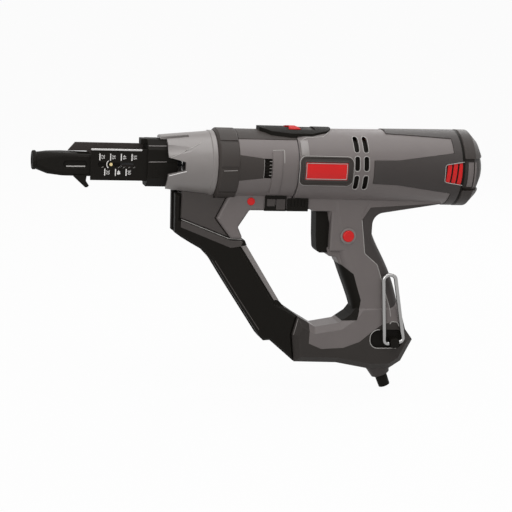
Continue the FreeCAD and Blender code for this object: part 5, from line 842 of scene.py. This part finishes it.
class SCREWDRIVER_OT_side_plate_lines(bpy.types.Operator):
    """Outline the side plates and the louvre windows with pale lines of painted highlight, frame the plates
    in dark grey, and fill the gaps between the louvres with black as painted shade
    """

    bl_idname = "screwdriver.side_plate_lines"
    bl_label = "Side plate lines"

    def execute(self, context):
        values = settings("trim")
        lines, frames, gaps = [], [], []
        for side in (NEAR, FAR):
            lines.extend(self.outline(side, *line) for line in PLATE_LINES)
            frames.extend(self.outline(side, *line) for line in PLATE_FRAMES)
            lines.append(self.window(side))
            gaps.extend(self.gap(side, step) for step in range(LOUVRE_GAPS))
        # Pale outlines are painted highlights; the black louvre gaps are painted shade.
        lay_beads("side_plate_lines", lines, values.line, "pale_edge", "badges")
        lay_beads("side_plate_frames", frames, values.frame, "dark_overmould", "badges")
        lay_beads("louvre_gaps", gaps, values.slat_gap, "black_moulding", "badges")
        return {"FINISHED"}

    def outline(self, side, node, spread, corner):
        """The closed outline of one side plate, grown by the spread and laid on the barrel."""
        low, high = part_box(node)
        corners = frame_of(low.x - spread, high.x + spread, low.z - spread, high.z + spread)
        return on_barrel(softened(corners, corner, LINE_GAP), settings("trim").badge_rise, side), True

    def window(self, side):
        """The open outline of the louvres' window, which is lower at its front."""
        low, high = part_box("louvres")
        lean = (high.z - low.z) * LOUVRE_TAPER
        rear = high.x - LOUVRE_INSET
        corners = [(rear, high.z), (low.x, high.z - lean), (low.x, low.z + lean), (rear, low.z)]
        points = softened(corners, WINDOW_BEND, LINE_GAP, False)
        return on_barrel(points, settings("trim").band_rise, side), False

    def gap(self, side, step):
        """The line of black painted shade behind one louvre."""
        values = settings("trim")
        low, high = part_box("louvres")
        x = low.x + values.slat_margin + step * values.slat_pitch
        lean = (high.z - low.z) * LOUVRE_TAPER
        inset = lean * (1 - (x - low.x) / (high.x - low.x)) + values.slat_gap
        ends = [(x + values.slat_lean, high.z - inset), (x - values.slat_lean, low.z + inset)]
        return on_barrel(softened(ends, LINE_BEND, LINE_GAP, False), -values.slat_gap, side), False


class SCREWDRIVER_OT_vents(bpy.types.Operator):
    """Rim the vents with pale painted highlights and put black sheets of painted shade behind them"""

    bl_idname = "screwdriver.vents"
    bl_label = "Vents"

    def execute(self, context):
        values = settings("trim")
        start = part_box("motor_housing_left")[0].x
        half, tall = VENT_WIDTH / 2, VENT_HEIGHT / 2
        paths = []
        for setback in VENT_SETBACKS:
            for rise in VENT_RISES:
                x = start + setback
                corners = frame_of(x - half, x + half, rise - tall, rise + tall)
                outline = softened(corners, half * VENT_ROUND, VENT_GAP)
                paths.extend((on_barrel(outline, 0, side), True) for side in (NEAR, FAR))
        lay_beads("vent_rims", paths, values.line, "pale_edge", "motor_housing_left")
        # Black sheets behind the vents, as painted shade inside them.
        black = finish("black_moulding")
        tree = rib_tree()
        sheets = [grown(tree, {
            "Place": (start + sum(VENT_SETBACKS) / 2, 0, 0), "Radius": values.screen, "Start": first,
            "Sweep": SHADE_SHEET_SWEEP, "Width": SHADE_SHEET_WIDTH, "Height": SHADE_SHEET_THICKNESS, "Finish": black})
            for first in SHADE_SHEET_STARTS]
        placed("vent_screens", joined(sheets), black, body_of("motor_housing_left"))
        return {"FINISHED"}


class SCREWDRIVER_OT_cap_ribs(bpy.types.Operator):
    """Stand the ribs in the recesses of the rear cap and lay a black ring in front of it as painted shade of
    the groove
    """

    bl_idname = "screwdriver.cap_ribs"
    bl_label = "Cap ribs"

    def execute(self, context):
        values = settings("trim")
        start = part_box("rear_cap")[0].x
        body = body_of("rear_cap")
        grey = finish("moulded_housing")
        tree = rib_tree()
        ribs = []
        widths = (values.rib_width, values.thin_rib_width)
        for setback, width, drop in zip(CAP_RIB_SETBACKS, widths, CAP_RIB_DROPS):
            radius = values.floor - drop + values.rib_height / 2
            for first in CAP_RIB_STARTS:
                ribs.append(grown(tree, {
                    "Place": (start + setback, 0, 0), "Radius": radius, "Start": first,
                    "Sweep": CAP_RIB_SWEEP, "Width": width, "Height": values.rib_height, "Finish": grey}))
        placed("cap_ribs", joined(ribs), grey, body)
        # A black ring stands for the groove in front of the cap, as painted shade.
        black = finish("black_moulding")
        ring = grown(tree, {
            "Place": (start - values.groove / 2 - GROOVE_GAP, 0, 0),
            "Radius": values.barrel_rear + GROOVE_RISE, "Start": -QUARTER_TURN, "Sweep": GROOVE_SWEEP,
            "Width": values.groove, "Height": GROOVE_DEPTH, "Finish": black})
        placed("cap_groove", joined([ring]), black, body)
        return {"FINISHED"}


class SCREWDRIVER_OT_hook_pocket(bpy.types.Operator):
    """Lay a black sheet of painted shade in the hook's pocket and rim it with pale painted highlights"""

    bl_idname = "screwdriver.hook_pocket"
    bl_label = "Hook pocket"

    def execute(self, context):
        values = settings("trim")
        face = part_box("base_shoe")[0].y
        (x, z), = body_place([POCKET_SHARE])
        half, tall = POCKET_LENGTH / 2, POCKET_HEIGHT / 2
        outline = softened(frame_of(x - half, x + half, z - tall, z + tall), POCKET_CORNER, RIM_GAP)
        black = finish("black_moulding")
        pocket_shade_sheet = plate(outline, face + values.pocket_depth, NEAR, POCKET_SHADE_THICKNESS, black)
        placed("pocket_liner", joined([pocket_shade_sheet]), black, body_of("base_shoe"))
        corners = [(x - half * RIM_TOP_SHARE, z + tall), (x - half, z + tall), (x - half, z - tall),
                   (x + half * RIM_BOTTOM_SHARE, z - tall)]
        rim = softened(corners, POCKET_CORNER, RIM_GAP, False)
        arch = softened(body_place(ARCH_SHARES), LINE_BEND, LINE_GAP, False)
        paths = [(on_side(points, face), False) for points in (rim, arch)]
        lay_beads("pocket_rim", paths, values.rim, "pale_edge", "base_shoe")
        return {"FINISHED"}


class SCREWDRIVER_OT_keeper_pads(bpy.types.Operator):
    """Set the two dark pads in the latch keeper"""

    bl_idname = "screwdriver.keeper_pads"
    bl_label = "Keeper pads"

    def execute(self, context):
        values = settings("trim")
        low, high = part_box("latch_keeper")
        dark = finish("mid_overmould")
        pads = []
        for side, depth in ((NEAR, low.y), (FAR, high.y)):
            for first, last, bottom in KEEPER_PADS:
                corners = frame_of(low.x + first, low.x + last, low.z + bottom, high.z - PAD_MARGIN)
                outline = softened(corners, PAD_CORNER, PLATE_GAP)
                pads.append(plate(outline, depth, side, values.pad, dark))
        placed("keeper_pads", joined(pads), dark, body_of("latch_keeper"))
        return {"FINISHED"}


class SCREWDRIVER_OT_arm_shoulder(bpy.types.Operator):
    """Lay a dark grey band, paler than the black arm, along the top of the guide arm as painted light on its
    upward-facing chamfer, run a painted highlight along the shell's edge, and close the seam at its foot
    """

    bl_idname = "screwdriver.arm_shoulder"
    bl_label = "Arm shoulder"

    def execute(self, context):
        values = settings("trim")
        low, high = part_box("strip_guide")
        dark = finish("mid_overmould")
        body = body_of("strip_guide")
        outline = softened(arm_place(SHOULDER_SHARES), SHOULDER_CORNER, PLATE_GAP)
        sunk = values.shoulder - values.facet
        plates = [plate(outline, depth - side * sunk, side, values.shoulder, dark)
                  for side, depth in ((NEAR, low.y), (FAR, high.y))]
        placed("arm_shoulder", joined(plates), dark, body)
        low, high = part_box("arm_shell")
        edge = softened(arm_place(SHELL_EDGE_SHARES), SHELL_EDGE_BEND, RIM_GAP, False)
        paths = [(on_side(edge, depth), False) for depth in (low.y, high.y)]
        lay_beads("shell_edge", paths, values.line, "pale_edge", "strip_guide")
        black = finish("black_moulding")
        seam = [(x + values.seam_half, z) for x, z in FOOT_SEAM]
        seam.extend((x - values.seam_half, z) for x, z in reversed(FOOT_SEAM))
        filler = plate(seam, values.seam_depth, NEAR, values.seam_depth * 2, black)
        placed("foot_seam", joined([filler]), black, body)
        return {"FINISHED"}


class SCREWDRIVER_OT_grip_lines(bpy.types.Operator):
    """Run a pale line along the border of the rear grip, a painted highlight on the edge of its groove"""

    bl_idname = "screwdriver.grip_lines"
    bl_label = "Grip lines"

    def execute(self, context):
        values = settings("trim")
        seam = softened(body_place(GRIP_SEAM_SHARES), GRIP_SEAM_BEND, EDGE_GAP, False)
        paths = [(on_nodes(seam, ("rear_grip", housing, "base_shoe"), side), False)
                 for housing, side in (("motor_housing_left", NEAR), ("motor_housing_right", FAR))]
        lay_beads("grip_lines", paths, values.line, "pale_edge", "rear_grip")
        return {"FINISHED"}


class SCREWDRIVER_OT_wheel_window(bpy.types.Operator):
    """Edge the depth wheel's windows and set the pointer teeth in them"""

    bl_idname = "screwdriver.wheel_window"
    bl_label = "Wheel window"

    def execute(self, context):
        values = settings("trim")
        low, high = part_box("depth_wheel")
        paths = []
        for side in (NEAR, FAR):
            front = low.x + WINDOW_SETBACK
            edge = softened([(front, WINDOW_TOP), (front, WINDOW_BOTTOM)], LINE_BEND, LINE_GAP, False)
            paths.append((self.rounded(edge, side), False))
            for step in range(TEETH):
                z = TOOTH_TOP - step * TOOTH_PITCH
                tooth = [(high.x - TOOTH_LENGTH, z), (high.x + TOOTH_OVERLAP, z)]
                paths.append((self.rounded(tooth, side), False))
        lay_beads("wheel_window_marks", paths, values.line, "silver_cone", "front_housing_left")
        return {"FINISHED"}

    def rounded(self, points, side):
        """Points of the side view laid on the front housing's drum."""
        radius = settings("trim").drum
        return [(x, side * math.sqrt(radius * radius - z * z), z) for x, z in points]


class SCREWDRIVER_OT_edge_lines(bpy.types.Operator):
    """Run fine lines along edges of the housings, the cone, the feed block, the nose and the feed plate. The
    lines along edges, the nose's lip and the arc in the muzzle's bore are painted highlights.
    """

    bl_idname = "screwdriver.edge_lines"
    bl_label = "Edge lines"

    def execute(self, context):
        values = settings("trim")
        # Each edge line is a painted highlight along an edge.
        for name, look, hosts, corners in EDGE_LINES:
            edge = softened(corners, LINE_BEND, EDGE_GAP, False)
            paths = [(on_nodes(edge, hosts, side), False) for side in (NEAR, FAR)]
            lay_beads(name, paths, values.line, look, hosts[0])
        # The nose window's pale lip: a painted highlight on its lit lower face.
        lip = on_side(NOSE_LIP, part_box("nosepiece")[0].y + values.lip_depth)
        lay_beads("nose_lip", [(lip, False)], values.lip, "pale_edge", "nosepiece")
        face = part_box("feed_plate_left")[0].y
        ends = [[(x, DASH_LEVEL), (x + DASH_RUN, DASH_LEVEL + DASH_CLIMB)] for x in DASH_PLACES]
        dashes = [(on_side(dash, face), False) for dash in ends]
        lay_beads("plate_dashes", dashes, values.ink_line, "pale_edge", "feed_plate_left")
        # The muzzle's glint: a painted highlight on the far wall of its bore.
        arc = turned_points(values.glint, GLINT_START, GLINT_SWEEP)
        glint = [([(GLINT_SETBACK, y, z) for y, z in arc], False)]
        lay_beads("muzzle_glint", glint, values.lip * GLINT_WIDTH, "printed_white", "muzzle_bush")
        return {"FINISHED"}


class SCREWDRIVER_OT_barrel_facet(bpy.types.Operator):
    """Lay the pale facets on the front of the motor's barrel, painted highlights on its chamfer"""

    bl_idname = "screwdriver.barrel_facet"
    bl_label = "Barrel facet"

    def execute(self, context):
        values = settings("trim")
        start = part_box("motor_housing_left")[0].x + FACET_SETBACK
        pale = finish("silver_cone")
        tree = rib_tree()
        facets = [grown(tree, {
            "Place": (start + FACET_WIDTH / 2, 0, 0), "Radius": values.barrel_front + FACET_RISE,
            "Start": first, "Sweep": FACET_SWEEP, "Width": FACET_WIDTH, "Height": FACET_RISE * 2,
            "Finish": pale}) for first in (FACET_FROM, math.pi - FACET_FROM - FACET_SWEEP)]
        placed("barrel_facet", joined(facets), pale, body_of("motor_housing_left"))
        return {"FINISHED"}


class SCREWDRIVER_OT_lever_recess(bpy.types.Operator):
    """Darken the floor that the direction lever slides on with a black sheet, as painted shade in its recess
    """

    bl_idname = "screwdriver.lever_recess"
    bl_label = "Lever recess"

    def execute(self, context):
        values = settings("trim")
        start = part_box("lever_bezel")[0].x + values.recess_setback
        black = finish("black_moulding")
        floor = grown(rib_tree(), {
            "Place": (start + values.recess_length / 2, 0, 0), "Radius": values.recess_floor,
            "Start": QUARTER_TURN - RECESS_SWEEP / 2, "Sweep": RECESS_SWEEP, "Width": values.recess_length,
            "Height": RECESS_THICKNESS, "Finish": black})
        placed("lever_recess", joined([floor]), black, body_of("lever_bezel"))
        return {"FINISHED"}


class SCREWDRIVER_OT_pin_mark(bpy.types.Operator):
    """Mark the setting pin with a pale crescent"""

    bl_idname = "screwdriver.pin_mark"
    bl_label = "Pin mark"

    def execute(self, context):
        values = settings("trim")
        low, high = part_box("length_pin")
        centre = (low + high) / 2
        arc = [(centre.x + x, centre.z + z)
               for x, z in turned_points(PIN_MARK_RADIUS, PIN_MARK_START, PIN_MARK_SWEEP)]
        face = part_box("feed_plate_left")[0].y
        mark = [(on_side(arc, face), False)]
        lay_beads("pin_mark", mark, values.line, "printed_white", "feed_plate_left")
        return {"FINISHED"}


class SCREWDRIVER_OT_return_spring(bpy.types.Operator):
    """Wind the return spring in place of its construction piece, which is hidden"""

    bl_idname = "screwdriver.return_spring"
    bl_label = "Return spring"

    def execute(self, context):
        values = settings("spring")
        low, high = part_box("return_spring")
        wire = values.wire / 2
        radius = high.y - wire
        start, end = low.x + wire, high.x - wire
        count = values.turns * values.steps
        coil = []
        for step in range(count + 1):
            along, turn = step / count, math.tau * step / values.steps
            coil.append((start + (end - start) * along, radius * math.cos(turn), radius * math.sin(turn)))
        steel = finish("brushed_steel")
        spring = piece_of("wound_spring", beads([(coil, False)], wire, steel), steel)
        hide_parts("return_spring")
        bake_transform(spring)
        return {"FINISHED"}


class SCREWDRIVER_OT_stage(bpy.types.Operator):
    """Set the floor, the lamps and the camera"""

    bl_idname = "screwdriver.stage"
    bl_label = "Studio stage"

    def execute(self, context):
        values = settings("stage")
        context.scene.view_settings.view_transform = "Standard"
        self.lay_floor(values)
        self.light_world(values)
        centre = (CAD_BOX[0] + CAD_BOX[1]) / 2
        for name, offset, side, strength in LAMPS:
            self.hang_lamp(name, Vector(offset), centre, side, getattr(values, strength))
        self.stand_camera(values)
        return {"FINISHED"}

    def lay_floor(self, values):
        """A pale floor at the tool's lowest point. The camera sees it white, with the tool's shadow."""
        mesh = bpy.data.meshes.new("studio_floor")
        half, level = values.floor_size / 2, CAD_BOX[0].z
        corners = [(-half, -half, level), (half, -half, level), (half, half, level), (-half, half, level)]
        mesh.from_pydata(corners, [], [(0, 1, 2, 3)])
        floor = bpy.data.objects.new("studio_floor", mesh)
        bpy.context.scene.collection.objects.link(floor)
        material = blank_material("Studio floor")
        tree = material.node_tree
        shaded = add(tree, "ShaderNodeBsdfDiffuse", {"Color": FLOOR_GREY})
        lit = add(tree, "ShaderNodeEmission", {"Color": WHITE, "Strength": 1.0})
        seen = add(tree, "ShaderNodeMath", {0: self.seen_rays(tree), 1: FLOOR_WHITE_SHARE},
                   operation="MULTIPLY")
        mix = add(tree, "ShaderNodeMixShader", {0: seen.outputs["Value"], 1: shaded.outputs["BSDF"],
                                                2: lit.outputs["Emission"]})
        add(tree, "ShaderNodeOutputMaterial", {"Surface": mix.outputs["Shader"]})
        mesh.materials.append(material)

    def seen_rays(self, tree):
        """1 for rays from the camera and for rays off gloss or through glass."""
        rays = add(tree, "ShaderNodeLightPath").outputs
        mirrored = add(tree, "ShaderNodeMath", {0: rays["Is Camera Ray"], 1: rays["Is Glossy Ray"]},
                       operation="MAXIMUM")
        through = add(tree, "ShaderNodeMath", {0: mirrored.outputs["Value"], 1: rays["Is Transmission Ray"]},
                      operation="MAXIMUM")
        return through.outputs["Value"]

    def light_world(self, values):
        """Even pale light from all round, seen as white."""
        world = bpy.data.worlds.new("Studio world")
        world.use_nodes = True
        tree = world.node_tree
        tree.nodes.clear()
        strength = ranged(tree, self.seen_rays(tree), 0, 1, values.ambient, 1.0)
        light = add(tree, "ShaderNodeBackground", {"Color": WHITE, "Strength": strength})
        add(tree, "ShaderNodeOutputWorld", {"Surface": light.outputs["Background"]})
        bpy.context.scene.world = world

    def hang_lamp(self, name, offset, target, side, watts):
        """A square soft lamp that looks at the tool."""
        data = bpy.data.lights.new(name, "AREA")
        data.size = side
        data.energy = watts
        lamp = bpy.data.objects.new(name, data)
        bpy.context.scene.collection.objects.link(lamp)
        lamp.location = target + offset
        lamp.rotation_euler = (-offset).to_track_quat("-Z", "Y").to_euler()

    def stand_camera(self, values):
        """The camera at the photograph's angle."""
        data = bpy.data.cameras.new("photo_camera")
        data.lens = values.lens
        camera = bpy.data.objects.new("photo_camera", data)
        bpy.context.scene.collection.objects.link(camera)
        turn, fall = values.heading, values.tilt
        right = Vector((math.cos(turn), -math.sin(turn), 0))
        back = Vector((-math.sin(turn) * math.cos(fall), -math.cos(turn) * math.cos(fall), math.sin(fall)))
        above = back.cross(right)
        across = right * math.cos(values.roll) + above * math.sin(values.roll)
        upward = above * math.cos(values.roll) - right * math.sin(values.roll)
        turned = Matrix((across, upward, back)).transposed().to_4x4()
        camera.matrix_world = Matrix.Translation(values.camera_place) @ turned
        bpy.context.scene.camera = camera


GROUPS = {"finish": FinishSettings, "scale": ScaleSettings, "trim": TrimSettings, "spring": SpringSettings,
          "stage": StageSettings}
STEPS = (
    SCREWDRIVER_OT_finishes, SCREWDRIVER_OT_length_scale, SCREWDRIVER_OT_plate_strip, SCREWDRIVER_OT_pin_mark,
    SCREWDRIVER_OT_side_plate_lines, SCREWDRIVER_OT_vents, SCREWDRIVER_OT_cap_ribs,
    SCREWDRIVER_OT_hook_pocket, SCREWDRIVER_OT_keeper_pads, SCREWDRIVER_OT_arm_shoulder,
    SCREWDRIVER_OT_grip_lines, SCREWDRIVER_OT_wheel_window, SCREWDRIVER_OT_edge_lines,
    SCREWDRIVER_OT_barrel_facet, SCREWDRIVER_OT_lever_recess, SCREWDRIVER_OT_return_spring,
    SCREWDRIVER_OT_stage,
)


class SCREWDRIVER_PT_panel(bpy.types.Panel):
    """Lists the steps that finish the screwdriver"""

    bl_idname = "SCREWDRIVER_PT_panel"
    bl_label = "Drywall screwdriver"
    bl_space_type = "VIEW_3D"
    bl_region_type = "UI"
    bl_category = "Screwdriver"

    def draw(self, context):
        for step in STEPS:
            self.layout.operator(step.bl_idname)


CLASSES = (*GROUPS.values(), *STEPS, SCREWDRIVER_PT_panel)


def register():
    for entry in CLASSES:
        bpy.utils.register_class(entry)
    for name, group in GROUPS.items():
        setattr(bpy.types.Scene, "screwdriver_" + name, PointerProperty(type=group))


def unregister():
    for name in GROUPS:
        delattr(bpy.types.Scene, "screwdriver_" + name)
    for entry in reversed(CLASSES):
        bpy.utils.unregister_class(entry)


def main():
    register()
    for step in STEPS:
        family, name = step.bl_idname.split(".")
        getattr(getattr(bpy.ops, family), name)()


if __name__ == "__main__":
    main()
